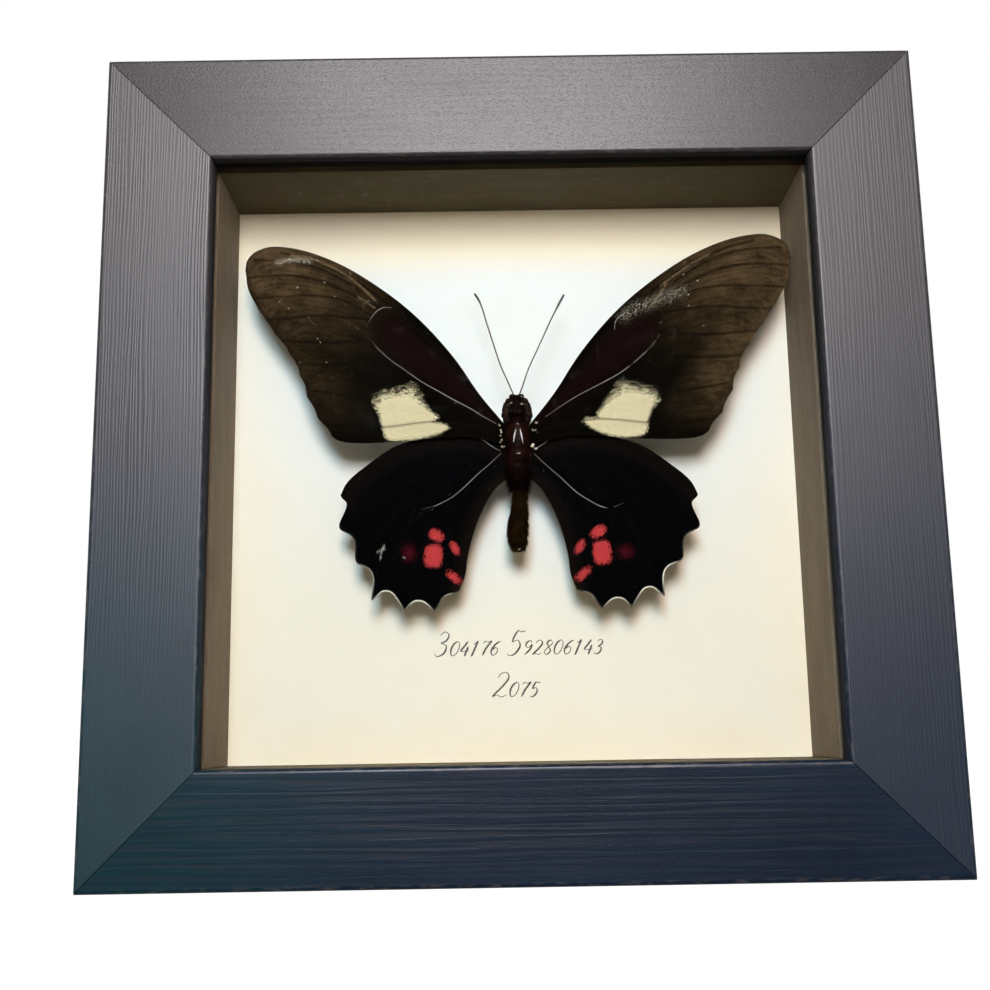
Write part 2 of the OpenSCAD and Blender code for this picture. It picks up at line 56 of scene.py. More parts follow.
# Places that the frame gives, in millimetres
frameHalf = span("rail_top", 0)[1]
frameFront = span("rail_top", 1)[0]
midZ = span("rail_top", 2)[1] / 2
windowHalf = -span("liner_left", 0)[1]
paperFront = span("mount_paper", 1)[0]
bodyX = sum(span("thorax", 0)) / 2
bodyY = sum(span("thorax", 1)) / 2


# Shapes: points are worked out in millimetres, as whole arrays

def smoothstep(low, high, value):
    # 3t^2 - 2t^3, where t is the share of the way from low to high
    t = np.clip((value - low) / (high - low), 0, 1)
    return t * t * (3 - 2 * t)


def hill(value, centre, width):
    # bell curve: 1 at the centre, e to the power of minus one at one width from it
    return np.exp(-((value - centre) / width) ** 2)


def spline(points, share):
    # cubic between each two points; its slope at a point is half the step between that point's neighbours
    p = np.asarray(points, float)
    p = np.vstack([2 * p[0] - p[1], p, 2 * p[-1] - p[-2]])
    pieces = len(points) - 1
    place = np.clip(share, 0, 1) * pieces
    i = np.minimum(place.astype(int), pieces - 1)
    f = (place - i)[..., None]
    a, b, c, d = p[i], p[i + 1], p[i + 2], p[i + 3]
    return 0.5 * (2 * b + (c - a) * f + (2 * a - 5 * b + 4 * c - d) * f ** 2
                  + (3 * b - a - 3 * c + d) * f ** 3)


def lineDistance(points, line):
    # distance from each point to the nearest stretch of a line: the foot of the perpendicular, held
    # between the stretch's two ends
    a, b = line[:-1][None], line[1:][None]
    along = b - a
    foot = ((points[:, None] - a) * along).sum(2) / (along ** 2).sum(2)
    gap = points[:, None] - a - np.clip(foot, 0, 1)[..., None] * along
    return np.sqrt((gap ** 2).sum(2)).min(1)


def outlineDepth(points, outline):
    # distance to a closed outline, positive where a ray to the right crosses it an odd number of times
    closed = np.vstack([outline, outline[:1]])
    x, y = points[:, :1], points[:, 1:]
    ax, ay, bx, by = closed[:-1, 0], closed[:-1, 1], closed[1:, 0], closed[1:, 1]
    reach = ax + (y - ay) * (bx - ax) / np.where(by == ay, 1, by - ay)
    inside = (((ay > y) != (by > y)) & (x < reach)).sum(1) % 2 == 1
    return np.where(inside, 1, -1) * lineDistance(points, closed)


def gridQuads(rows, columns, wrapRows=False, wrapColumns=False):
    # corner numbers of the faces of a grid whose points are numbered row by row
    i, j = np.meshgrid(np.arange(rows if wrapRows else rows - 1),
                       np.arange(columns if wrapColumns else columns - 1), indexing="ij")
    below, beside = (i + 1) % rows, (j + 1) % columns
    corners = [i * columns + j, i * columns + beside, below * columns + beside, below * columns + j]
    return np.stack(corners, -1).reshape(-1, 4)


def joined(shapes):
    # several pairs of points and faces as one: each one's faces count on from the points before it
    starts = np.cumsum([0] + [len(points) for points, faces in shapes[:-1]])
    return (np.vstack([points for points, faces in shapes]),
            np.vstack([faces + start for (points, faces), start in zip(shapes, starts)]))


def makePiece(name, shape, material, values={}, replaces=()):
    # volume as the sum of the boxes spanned by each face's corners and the origin: a negative one turns
    # the faces round; points that lie on each other, at poles and seams, become one
    points, faces = shape
    a, b, c, d = (points[faces[:, k]] for k in range(4))
    if (a * np.cross(b, c)).sum() + (a * np.cross(c, d)).sum() < 0:
        faces = faces[:, ::-1]
    mesh = bpy.data.meshes.new(name)
    mesh.vertices.add(len(points))
    mesh.vertices.foreach_set("co", (points * mm).astype(np.float32).ravel())
    mesh.loops.add(faces.size)
    mesh.loops.foreach_set("vertex_index", faces.astype(np.int32).ravel())
    mesh.polygons.add(len(faces))
    mesh.polygons.foreach_set("loop_start", np.arange(0, faces.size, 4, dtype=np.int32))
    mesh.polygons.foreach_set("use_smooth", np.ones(len(faces), dtype=bool))
    mesh.update(calc_edges=True)
    for label, numbers in values.items():
        layer = mesh.attributes.new(label, "FLOAT", "POINT")
        layer.data.foreach_set("value", numbers.astype(np.float32).ravel())
    work = bmesh.new()
    work.from_mesh(mesh)
    bmesh.ops.remove_doubles(work, verts=work.verts, dist=0.0005 * mm)
    bmesh.ops.dissolve_degenerate(work, edges=work.edges, dist=0.0001 * mm)
    work.to_mesh(mesh)
    work.free()
    mesh.materials.append(material)
    piece = bpy.data.objects.new(name, mesh)
    bpy.context.scene.collection.objects.link(piece)
    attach(piece, "case")
    if replaces:
        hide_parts(*replaces)


def tubes(paths, radii, sides, flatness=1):
    # rings round many paths at once: across the path one way by its radius, and by the flattened radius
    # the other way; a point with no radius at either end closes the tube. The share is the way along it
    paths, radii = np.asarray(paths, float), np.asarray(radii, float)
    if paths.ndim == 2:
        paths, radii = paths[None], radii[None]
    count, steps = radii.shape
    ahead = np.gradient(paths, axis=1)
    ahead /= np.linalg.norm(ahead, axis=2, keepdims=True)
    side = np.cross(ahead, (0, 1, 0))
    side /= np.linalg.norm(side, axis=2, keepdims=True)
    paths, side, other = (np.pad(v, ((0, 0), (1, 1), (0, 0)), mode="edge")[:, :, None]
                          for v in (paths, side, np.cross(side, ahead)))
    radii = np.pad(radii, ((0, 0), (1, 1)))[:, :, None, None]
    turn = (np.arange(sides) * 2 * math.pi / sides)[:, None]
    points = paths + radii * (np.cos(turn) * side + flatness * np.sin(turn) * other)
    faces = gridQuads(steps + 2, sides, wrapColumns=True)
    starts = np.arange(count)[:, None, None] * (steps + 2) * sides
    share = np.tile(np.repeat(np.pad(np.linspace(0, 1, steps), 1, mode="edge"), sides), count)
    return (points.reshape(-1, 3), (faces[None] + starts).reshape(-1, 4)), {"share": share}


# Shader nodes. newMaterial and newGroup start a tree, and what follows adds nodes to it. A Value stands
# for what a socket gives, so that masks, heights and roughness are written as sums

class Value:
    def __init__(self, socket):
        self.socket = socket

    def __add__(self, other):
        return calc("ADD", self, other)

    def __sub__(self, other):
        return calc("SUBTRACT", self, other)

    def __rsub__(self, other):
        return calc("SUBTRACT", other, self)

    def __mul__(self, other):
        return calc("MULTIPLY", self, other)

    def __truediv__(self, other):
        return calc("DIVIDE", self, other)


def feed(socket, value):
    if isinstance(value, Value):
        tree.links.new(value.socket, socket)
    else:
        socket.default_value = (*value, 1) if socket.type == "RGBA" else value


def addNode(kind, inputs={}, output=0, **settings):
    made = tree.nodes.new("ShaderNode" + kind)
    for label, value in settings.items():
        setattr(made, label, value)
    for label, value in inputs.items():
        feed(made.inputs[label], value)
    return Value(made.outputs[output]) if len(made.outputs) else None


def calc(operation, *values, **settings):
    return addNode("Math", dict(enumerate(values)), operation=operation, **settings)


def largest(*values):
    return values[0] if len(values) == 1 else calc("MAXIMUM", values[0], largest(*values[1:]))


def absolute(value):
    return calc("ABSOLUTE", value)


def hypot(a, b):
    return calc("SQRT", calc("POWER", a, 2) + calc("POWER", b, 2))


def stretch(vector, x, y, z):
    return addNode("VectorMath", {0: vector, 1: (x, y, z)}, operation="MULTIPLY")


def ramp(value, low, high):
    # 0 below low, 1 above high, with a smooth rise between
    return addNode("MapRange", {"Value": value, "From Min": low, "From Max": high}, interpolation_type="SMOOTHSTEP")


def noise(vector, detail=2, roughness=0.5, scale=1):
    return addNode("TexNoise", {"Vector": vector, "Scale": scale, "Detail": detail, "Roughness": roughness}, "Fac")


def specks(vector, scale, low, high):
    # 1 close to scattered points, 0 away from them
    return 1 - ramp(addNode("TexVoronoi", {"Vector": vector, "Scale": scale}, "Distance"), low, high)


def blend(share, first, second, mode="MIX"):
    return addNode("Mix", {0: share, 6: first, 7: second}, 2, data_type="RGBA", blend_type=mode, clamp_factor=True)


def shade(colour, tone):
    grey = addNode("CombineColor", {"Red": tone, "Green": tone, "Blue": tone})
    return blend(1, colour, grey, mode="MULTIPLY")


def attribute(name):
    return addNode("Attribute", {}, "Fac", attribute_name=name)


def parts(vector):
    node = tree.nodes.new("ShaderNodeSeparateXYZ")
    feed(node.inputs[0], vector)
    return [Value(socket) for socket in node.outputs]


def newGroup(name, **inputs):
    global tree
    tree = bpy.data.node_groups.new(name, "ShaderNodeTree")
    for label, value in inputs.items():
        kind = "NodeSocketVector" if isinstance(value, tuple) else "NodeSocketFloat"
        tree.interface.new_socket(label, in_out="INPUT", socket_type=kind).default_value = value
    return [Value(socket) for socket in tree.nodes.new("NodeGroupInput").outputs[:len(inputs)]]


def groupOf(**outputs):
    for label in outputs:
        tree.interface.new_socket(label, in_out="OUTPUT", socket_type="NodeSocketFloat")
    node = tree.nodes.new("NodeGroupOutput")
    for label, value in outputs.items():
        feed(node.inputs[label], value)
    return tree


def use(group, **inputs):
    made = tree.nodes.new("ShaderNodeGroup")
    made.node_tree = group
    for label, value in inputs.items():
        feed(made.inputs[label], value)
    return {socket.name: Value(socket) for socket in made.outputs}


def newMaterial(name):
    # gives the place on the surface, in millimetres
    global tree, material
    material = bpy.data.materials.new(name)
    material.use_nodes = True
    tree = material.node_tree
    tree.nodes.clear()
    return stretch(addNode("TexCoord", {}, "Object"), 1 / mm, 1 / mm, 1 / mm)


def surface(colour, rough, specular, height=None, relief=0, more={}):
    # the relief is the depth of the bump, in millimetres
    inputs = {"Base Color": colour, "Roughness": rough, "Specular IOR Level": specular}
    if height:
        inputs["Normal"] = addNode("Bump", {"Height": height, "Distance": relief * mm, "Strength": 1})
    addNode("OutputMaterial", {"Surface": addNode("BsdfPrincipled", {**inputs, **more})})
    return material


def dress(nodes, finish):
    for name in nodes:
        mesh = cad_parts[name].data
        mesh.materials.clear()
        mesh.materials.append(finish)


def brushedGrainGroup():
    # Grain along the vector's X, in millimetres. Ridges: a sine of the way across over the pitch, set
    # a little astray by slow noise. Fibres: fine noise drawn out along the grain. Dashes: peaks of a
    # shorter one. Grit: fine noise hardly drawn out
    place, pitch, ridges, dashes, grits = newGroup("brushedGrain", Vector=(0, 0, 0), Pitch=0.6, Ridges=1,
                                                   Dashes=0.5, Grit=0.2)
    x, y, z = parts(place)
    across = noise(stretch(place, 0.02, 0.1, 0.1)) * 1.6 + (y * 0.8 + z)
    turns = noise(stretch(place, 0.03, 0.9, 0.9)) * 2.2 + across / pitch
    ridge = calc("SINE", turns * (2 * math.pi)) * 0.5 + 0.5
    strength = (ramp(noise(stretch(place, 0.03, 0.16, 0.16)), 0.3, 0.66) * 0.7 + 0.3) * ridges
    fibre = noise(stretch(place, 0.25, 4.8, 4.8), 3, 0.65)
    grit = noise(stretch(place, 2.4, 5, 5), 2, 0.6)
    dash = ramp(noise(stretch(place, 1.7, 6.5, 6.5), 1), 0.56, 0.7) * dashes
    valley = calc("POWER", 1 - ridge, 3) * strength
    return groupOf(Height=grit * grits + fibre * 0.35 + ridge * strength - dash * 0.6,
                   Groove=calc("ADD", valley, dash, use_clamp=True), Fibre=fibre + (grit - fibre) * grits)


def mottleGroup():
    # Cloudy blotches of a given size in millimetres, fine grain at a fortieth of it, and round specks
    place, wide = newGroup("mottle", Vector=(0, 0, 0), Size=10)
    often = calc("DIVIDE", 1, wide)
    return groupOf(Blotch=noise(place, 4, 0.6, often), Grain=noise(place, scale=often * 40),
                   Speck=specks(place, often * 6, 0.06, 0.16))


def wornEdgeGroup():
    # How far the surface turns within a small radius: one minus the product of the true normal and
    # the normal of a rounded edge, broken up by noise
    place, radius = newGroup("wornEdge", Vector=(0, 0, 0), Radius=0.0002)
    rounded = addNode("Bevel", {"Radius": radius}, samples=4)
    product = addNode("VectorMath", {0: rounded, 1: addNode("NewGeometry", {}, "Normal")}, "Value",
                      operation="DOT_PRODUCT")
    return groupOf(Edge=ramp(1 - product, 0, 0.25) * ramp(noise(stretch(place, 1.5, 1.5, 1.5), 3), 0.35, 0.65))


def wingScalesGroup():
    # Fine grain, streaks drawn out along the wing, blotches, bare specks where scales are lost, and the
    # fray of a mark's edge, where fine streaks and grain are cut to a value from 0 to 1
    place, along, across = newGroup("wingScales", Vector=(0, 0, 0), Along=0.0, Across=0.0)
    lie = addNode("CombineXYZ", {"X": across, "Y": along})
    grains = noise(place, 1, scale=7)
    strands = noise(stretch(lie, 170, 40, 1))
    return groupOf(Grain=noise(place, scale=6), Streak=noise(stretch(lie, 60, 9, 1), 3, 0.6),
                   Blotch=noise(place, 5, 0.65, 0.35), Fray=ramp(grains + (strands - grains) * 0.4, 0.37, 0.63),
                   Bare=specks(stretch(place, 1.5, 1, 0.8), 1.1, 0.03, 0.085) * ramp(noise(place, scale=0.3), 0.45,
                       0.6))


brushedGrain, mottle, wornEdge, wingScales = brushedGrainGroup(), mottleGroup(), wornEdgeGroup(), wingScalesGroup()

# Stage: camera, lamps, world and floor. Places in millimetres, angles in degrees

viewpoint = {"place": (-4.134, -197.729, 22.041), "turn": (100.5513, 0.9251, -0.0515), "lens": 45.56}
lamps = {
    # azimuth, elevation, distance, width, height, how bright a white sheet that faces the lamp gets, colour
    "coolWindow": (-6.3, 16.7, 390, 62, 132, 0.475, (0.7, 1, 1.18)),
    "warmWindow": (2.6, 15.6, 390, 62, 132, 0.475, (1.2, 0.98, 0.88)),
    "windowGlare": (0, 28, 700, 300, 350, 5.9, (1, 0.94, 0.98)),  # seen in gloss alone
    "coolFill": (62, -6, 600, 300, 300, 0.06, (0.85, 1, 0.62)),
    "warmFill": (-66, -4, 600, 300, 300, 0.045, (1.2, 0.88, 0.4)),
    "backLeft": (-145, 35, 900, 400, 400, 0.45, (1, 1, 1)),
    "backRight": (145, 35, 900, 400, 400, 0.45, (1, 1, 1)),
}
roomFill = (0.42, 0.3, 0.13)
floorLook = {"colour": (0.2, 0.2, 0.2), "near": 0.93, "far": 1, "reach": (200, 800), "half": 3000}


def setCamera(look):
    data = bpy.data.cameras.new("camera")
    data.lens, data.sensor_width, data.clip_start = look["lens"], 36, 0.005
    camera = bpy.data.objects.new("camera", data)
    camera.location = [v * mm for v in look["place"]]
    camera.rotation_euler = [math.radians(v) for v in look["turn"]]
    bpy.context.scene.collection.objects.link(camera)
    bpy.context.scene.camera = camera


def addLamp(name, azimuth, elevation, distance, width, height, white, colour):
    # power of a flat lamp = pi squared times the wanted brightness times the distance squared
    side, up, reach = math.radians(azimuth), math.radians(elevation), distance * mm
    data = bpy.data.lights.new(name, "AREA")
    data.shape, data.size, data.size_y = "RECTANGLE", width * mm, height * mm
    data.energy, data.color = math.pi ** 2 * white * reach ** 2, colour
    lamp = bpy.data.objects.new(name, data)
    lamp.location = (reach * math.cos(up) * math.sin(side), -reach * math.cos(up) * math.cos(side),
                     midZ * mm + reach * math.sin(up))
    lamp.rotation_euler = (math.pi / 2 - up, 0, side)
    lamp.visible_diffuse = name != "windowGlare"
    lamp.visible_transmission = False  # light comes in through the glass as shadow rays, once
    bpy.context.scene.collection.objects.link(lamp)


def rayIs(kind):
    return addNode("LightPath", {}, kind)


def seenDirectly():
    # 1 for camera, mirror and glass rays, 0 for the light that surfaces pass to each other, also
    # where that light has gone through the glass
    seen = largest(rayIs("Is Camera Ray"), rayIs("Is Glossy Ray"), rayIs("Is Transmission Ray"))
    return seen * calc("LESS_THAN", rayIs("Diffuse Depth"), 0.5)


def setWorld(fill):
    global tree
    world = bpy.data.worlds.new("studio")
    world.use_nodes = True
    tree = world.node_tree
    tree.nodes.clear()
    sky = addNode("Background", {"Color": blend(seenDirectly(), fill, (1, 1, 1)), "Strength": 1})
    addNode("OutputWorld", {"Surface": sky})
    bpy.context.scene.world = world


def addFloor(look):
    # a square sheet under the object; near it the floor glows a little below white to the camera, so
    # that its own light brings it to white and the object's shadow stays, and far off it is white
    place = newMaterial("paleFloor")
    far = ramp(addNode("VectorMath", {0: place}, "Value", operation="LENGTH"), *look["reach"])
    strength = seenDirectly() * (far * (look["far"] - look["near"]) + look["near"])
    glow = addNode("Emission", {"Color": (1, 1, 1), "Strength": strength})
    addNode("OutputMaterial", {"Surface": addNode("AddShader",
        {0: addNode("BsdfDiffuse", {"Color": look["colour"]}),
                                                                1: glow})})
    half = look["half"] * mm
    mesh = bpy.data.meshes.new("floor")
    mesh.from_pydata([(-half, -half, 0), (half, -half, 0), (half, half, 0), (-half, half, 0)], [], [(0, 1, 2, 3)])
    mesh.materials.append(material)
    floor = bpy.data.objects.new("floor", mesh)
    bpy.context.scene.collection.objects.link(floor)


setCamera(viewpoint)
for lampName, lamp in lamps.items():
    addLamp(lampName, *lamp)
setWorld(roomFill)
addFloor(floorLook)
bpy.context.scene.view_settings.view_transform = "Standard"
print("stage set")

# Moulding: four lengths cut from one stained and wire-brushed wood, each with its own grain

alongZ = math.pi / 2
moulding = {
    # the first three colours hold painted light: a painted sheen above, the dark stain with a painted blue tint
    # below, and a painted teal fill light at the lower left
    "paintedSheenHigh": (0.034, 0.0305, 0.0325), "stainPaintedBlueLow": (0.002, 0.01, 0.026), "paintedTealLight": (0.001, 0.022, 0.034),
    "groove": (0.003, 0.003, 0.004), "rubbed": (0.16, 0.15, 0.15), "glueLine": (0.004, 0.004, 0.005),
    # the rebate colour is a painted shade for the deep slot round the glass
    "cut": (0.03, 0.027, 0.017), "cutHalf": 46.45, "rebate": (0.002, 0.002, 0.0018), "rebateHalf": 51.2,
    "lip": 2, "dull": 0.9,
}
mouldingGrain = {
    "rail_top": {"turn": 0, "shift": (0, 0, 0), "pitch": 1.1, "ridges": 0.12, "dashes": 0.25, "grit": 0.7,
                 "relief": 0.032, "roughness": 0.31, "specular": 0.064},
    "rail_bottom": {"turn": 0, "shift": (40, 0, 300), "pitch": 1.3, "ridges": 0.5, "dashes": 0.2, "grit": 0.2,
                    "relief": 0.03, "roughness": 0.31, "specular": 0.076},
    "stile_left": {"turn": alongZ, "shift": (0, 80, 0), "pitch": 0.5, "ridges": 0.55, "dashes": 0.1, "grit": 0.3,
                   "relief": 0.03, "roughness": 0.42, "specular": 0.125, "fade": (16, 62)},
    "stile_right": {"turn": alongZ, "shift": (0, 0, 900), "pitch": 0.6, "ridges": 0.3, "dashes": 0.12, "grit": 0.35,
                    "relief": 0.03, "roughness": 0.42, "specular": 0.115},
}


def grainOn(place, grain):
    # where a fade is given, the ridges rise from nothing to full between its two heights
    turned = addNode("Mapping", {"Vector": place, "Rotation": (0, grain["turn"], 0), "Location": grain["shift"]})
    ridges = ramp(parts(place)[2], *grain["fade"]) * grain["ridges"] if "fade" in grain else grain["ridges"]
    return turned, use(brushedGrain, Vector=turned, Pitch=grain["pitch"], Ridges=ridges, Dashes=grain["dashes"],
                       Grit=grain["grit"])


def mouldingMaterial(name, look, grain):
    place = newMaterial(name)
    turned, lines = grainOn(place, grain)
    cloud = use(mottle, Vector=turned, Size=26)["Blotch"]
    x, y, z = parts(place)
    # stain with painted light: a painted sheen makes it grey above; below it is the stain's dark colour with a
    # painted blue tint, and towards the lower left a painted teal fill light
    high = ramp(z, 12, 118)
    colour = blend(high, look["stainPaintedBlueLow"], look["paintedSheenHigh"])
    colour = blend((1 - ramp(x, -62, -8)) * (1 - ramp(z, 14, 76)), colour, look["paintedTealLight"])
    colour = shade(colour, lines["Fibre"] * 0.9 + cloud * 0.9 + 0.1)
    colour = blend(lines["Groove"] * 0.8, colour, look["groove"])
    # square radius: the larger of the distances from the middle sideways and up, the same all along an arris
    sideways, upwards, behind = absolute(x), absolute(z - midZ), y - frameFront
    square = largest(sideways, upwards)
    worn = largest(*(1 - ramp(hypot(square - arris, behind), 0.1, 0.9) for arris in (frameHalf, windowHalf)))
    colour = blend(worn * ramp(noise(stretch(turned, 0.5, 1.6, 1.6), 3), 0.5, 0.68) * 0.3, colour, look["rubbed"])
    # the glue line of a mitre, where the two distances are the same
    glue = 1 - ramp(absolute(sideways - upwards), 0.1, 0.24)
    inner = 1 - ramp(square, windowHalf + 3, windowHalf + 13)
    colour = blend(glue * (inner * 0.7 + 0.3) * high, colour, look["glueLine"])
    # browner on the lip's cut edge; painted shade, near black, on the lip's face towards the glass and inside the
    # rebate
    cut = calc("GREATER_THAN", behind, 0.25) * calc("LESS_THAN", square, look["cutHalf"])
    colour = blend(cut, colour, look["cut"])
    inside = ramp(behind, look["lip"] - 0.25, look["lip"] + 0.1) * calc("LESS_THAN", square, look["rebateHalf"])
    colour = blend(inside, colour, look["rebate"])
    # only the face is rubbed to a sheen: the sides, the back and the rebate stay dull
    rough = lines["Groove"] * 0.25 + cloud * 0.14 + (grain["roughness"] - 0.07)
    rough = rough + (look["dull"] - rough) * ramp(behind, 0.15, 0.6)
    return surface(colour, rough, grain["specular"], lines["Height"], grain["relief"])


for nodeName, grain in mouldingGrain.items():
    dress([nodeName], mouldingMaterial("stained_" + nodeName, moulding, grain))

linerWood = {
    # the lengths across take a darker copy of the stain than the upright ones: painted shade for the top length,
    # which faces down
    "liner_across": {"nodes": ["liner_top", "liner_bottom"], "turn": 0, "shift": (0, 500, 0), "pitch": 0.8,
                     "ridges": 0.35, "dashes": 0.5, "grit": 0.2, "stain": (0.165, 0.13, 0.07), "dark": (0.055,
                         0.043, 0.024)},
    "liner_upright": {"nodes": ["liner_left", "liner_right"], "turn": alongZ, "shift": (0, 0, 200), "pitch": 0.7,
                      "ridges": 0.45, "dashes": 0.6, "grit": 0.2, "stain": (0.365, 0.285, 0.195), "dark": (0.11,
                          0.085, 0.06)},
}


def linerMaterial(name, grain):
    turned, lines = grainOn(newMaterial(name), grain)
    cloud = use(mottle, Vector=stretch(turned, 0.3, 1, 1), Size=5)["Blotch"]
    colour = blend(lines["Fibre"] * 0.9 - 0.1, grain["dark"], grain["stain"])
    colour = blend(ramp(cloud, 0.4, 0.75) * 0.5, colour, grain["dark"])
    colour = blend(lines["Groove"] * 0.6, colour, grain["dark"])
    return surface(colour, lines["Groove"] * 0.2 + 0.62, 0.08, lines["Height"], 0.04)


for linerName, grain in linerWood.items():
    dress(grain["nodes"], linerMaterial(linerName, grain))
print("wood dressed")

# Glass: coated, so that it mirrors almost nothing

coatedGlass = {"tint": (0.985, 0.995, 0.99), "ior": 1.012}


def glassMaterial(look):
    # light for the things behind it passes straight through; its roughness varies a little with wipe marks
    place = newMaterial("coated_glass")
    wipe = use(mottle, Vector=stretch(place, 1, 1, 0.35), Size=18)["Blotch"]
    glass = addNode("BsdfPrincipled", {"Base Color": look["tint"], "Roughness": ramp(wipe, 0.5, 0.8) * 0.02,
                                       "IOR": look["ior"], "Transmission Weight": 1})
    passing = largest(rayIs("Is Shadow Ray"), rayIs("Is Diffuse Ray"))
    mixed = addNode("MixShader", {0: passing, 1: glass, 2: addNode("BsdfTransparent")})
    addNode("OutputMaterial", {"Surface": mixed})
    return material


dress(["glass_pane"], glassMaterial(coatedGlass))

# Paper, boards and foam

paperLook = {"cream": (0.87, 0.845, 0.745), "cool": (0.86, 0.905, 0.91), "warm": (0.87, 0.76, 0.55),
             "stain": (0.85, 0.76, 0.65), "warmTop": (0.96, 0.845, 0.64)}


def paperMaterial(look):
    place = newMaterial("cream_paper")
    x, y, z = parts(place)
    up = z - midZ
    cloud = use(mottle, Vector=place, Size=16)["Blotch"]
    fine = use(mottle, Vector=stretch(place, 1, 1, 1.3), Size=3.2)
    # a painted cool light in the upper middle, warmer towards the edges and towards the top edge, with blotches of
    # age
    colour = blend(1 - ramp(hypot(x * 0.8, up - 20), 10, 52), look["cream"], look["cool"])
    edge = windowHalf - largest(absolute(x), absolute(up))
    near = 1 - ramp(cloud * -14 + (edge + 7), 0, 11)
    colour = blend(near * ((1 - ramp(up, -46, 10)) * 0.35 + 0.15), colour, look["warm"])
    colour = blend(ramp(up, windowHalf - 14, windowHalf - 5), colour, look["warmTop"])
    colour = blend(ramp(cloud, 0.52, 0.75) * 0.22, colour, look["stain"])
    colour = shade(colour, fine["Blotch"] * 0.05 + 0.975)
    return surface(colour, fine["Grain"] * 0.1 + 0.8, 0.04, fine["Grain"] + fine["Blotch"], 0.012)


boards = {
    # node, first and second colour, grain, specks, edges; stretch, size, relief, roughness, specular
    "foam_board": ("mount_board", (0.8, 0.8, 0.78), (0.86, 0.86, 0.84), (0.72, 0.72, 0.7), (0.6, 0.6, 0.58),
                   (0.9, 0.9, 0.88), (1, 1, 1), 8, 0.02, 0.7, 0.3),
    "hardboard": ("back_panel", (0.19, 0.105, 0.052), (0.27, 0.165, 0.09), (0.12, 0.06, 0.03), (0.36, 0.25, 0.15),
                  (0.34, 0.22, 0.13), (1, 1, 1.7), 9, 0.03, 0.55, 0.4),
    "foam_block": ("specimen_block", (0.76, 0.72, 0.62), (0.83, 0.79, 0.7), (0.6, 0.56, 0.48), (0.4, 0.36, 0.3),
                   (0.85, 0.81, 0.72), (1, 1, 1), 3, 0.05, 0.85, 0.2),
    "bumper_rubber": ("bumper_pads", (0.018, 0.018, 0.019), (0.03, 0.03, 0.031), (0.05, 0.05, 0.05),
                      (0.12, 0.115, 0.105), (0.08, 0.08, 0.08), (1, 1, 1), 4, 0.02, 0.72, 0.35),
}


def boardMaterial(name, first, second, grain, speck, edge, drawn, wide, relief, roughness, specular):
    # two colours mixed by blotches, specks of a third, and a fine relief
    place = newMaterial(name)
    cloud = use(mottle, Vector=stretch(place, *drawn), Size=wide)
    colour = blend(ramp(cloud["Blotch"], 0.3, 0.7), first, second)
    colour = blend(ramp(cloud["Grain"], 0.45, 0.75) * 0.4, colour, grain)
    colour = blend(cloud["Speck"] * 0.5, colour, speck)
    colour = blend(use(wornEdge, Vector=place, Radius=0.3 * mm)["Edge"] * 0.5, colour, edge)
    return surface(colour, cloud["Grain"] * 0.16 + (roughness - 0.08), specular, cloud["Grain"] - cloud["Speck"],
                   relief)


dress(["mount_paper"], paperMaterial(paperLook))
for boardName, (node, *look) in boards.items():
    dress([node], boardMaterial(boardName, *look))

# Metal: zinc plated buttons, screws and V nails, and the brass plated hanger

metals = {
    # nodes, bright, dull and rubbed colour; stretch of the scratches, roughness, relief
    "button_zinc": (["turn_button_" + corner for corner in ("upper_left", "upper_right", "lower_left",
        "lower_right")],
                    (0.62, 0.61, 0.58), (0.4, 0.4, 0.39), (0.8, 0.79, 0.76), (0.35, 3, 3), 0.34, 0.01),
    "screw_zinc": (["turn_button_screws"], (0.66, 0.65, 0.61), (0.43, 0.42, 0.38), (0.82, 0.81, 0.77), (2, 2, 2),
                   0.3, 0.01),
    "v_nail_steel": (["corner_v_nails"], (0.5, 0.5, 0.52), (0.22, 0.2, 0.18), (0.6, 0.6, 0.6), (2, 0.4, 2), 0.42,
                     0.01),
    "hanger_brass": (["sawtooth_hanger", "hanger_nails"], (0.74, 0.55, 0.25), (0.46, 0.31, 0.13), (0.86, 0.7, 0.42),
                     (0.4, 2.6, 2.6), 0.33, 0.008),
}


def metalMaterial(name, bright, dull, rubbed, drawn, roughness, relief):
    # bright metal clouded with dull plating, fine scratches along its length, edges rubbed bright
    place = newMaterial(name)
    cloud = use(mottle, Vector=place, Size=4)
    scratch = noise(stretch(place, *drawn), 3, 0.7, 3)
    colour = blend(ramp(cloud["Blotch"], 0.35, 0.7), bright, dull)
    colour = blend(use(wornEdge, Vector=place, Radius=0.15 * mm)["Edge"] * 0.8, colour, rubbed)
    rough = scratch * 0.2 + cloud["Blotch"] * 0.2 + (roughness - 0.2)
    return surface(colour, rough, 0.5, scratch + cloud["Grain"], relief, {"Metallic": 1})


for metalName, (nodes, *look) in metals.items():
    dress(nodes, metalMaterial(metalName, *look))
print("glass, boards and metal dressed")

# Wings. Outlines are [outwards, up] from the body's middle line and the middle of the window; marks are
# [x, up] from the middle of the window, as they differ from side to side

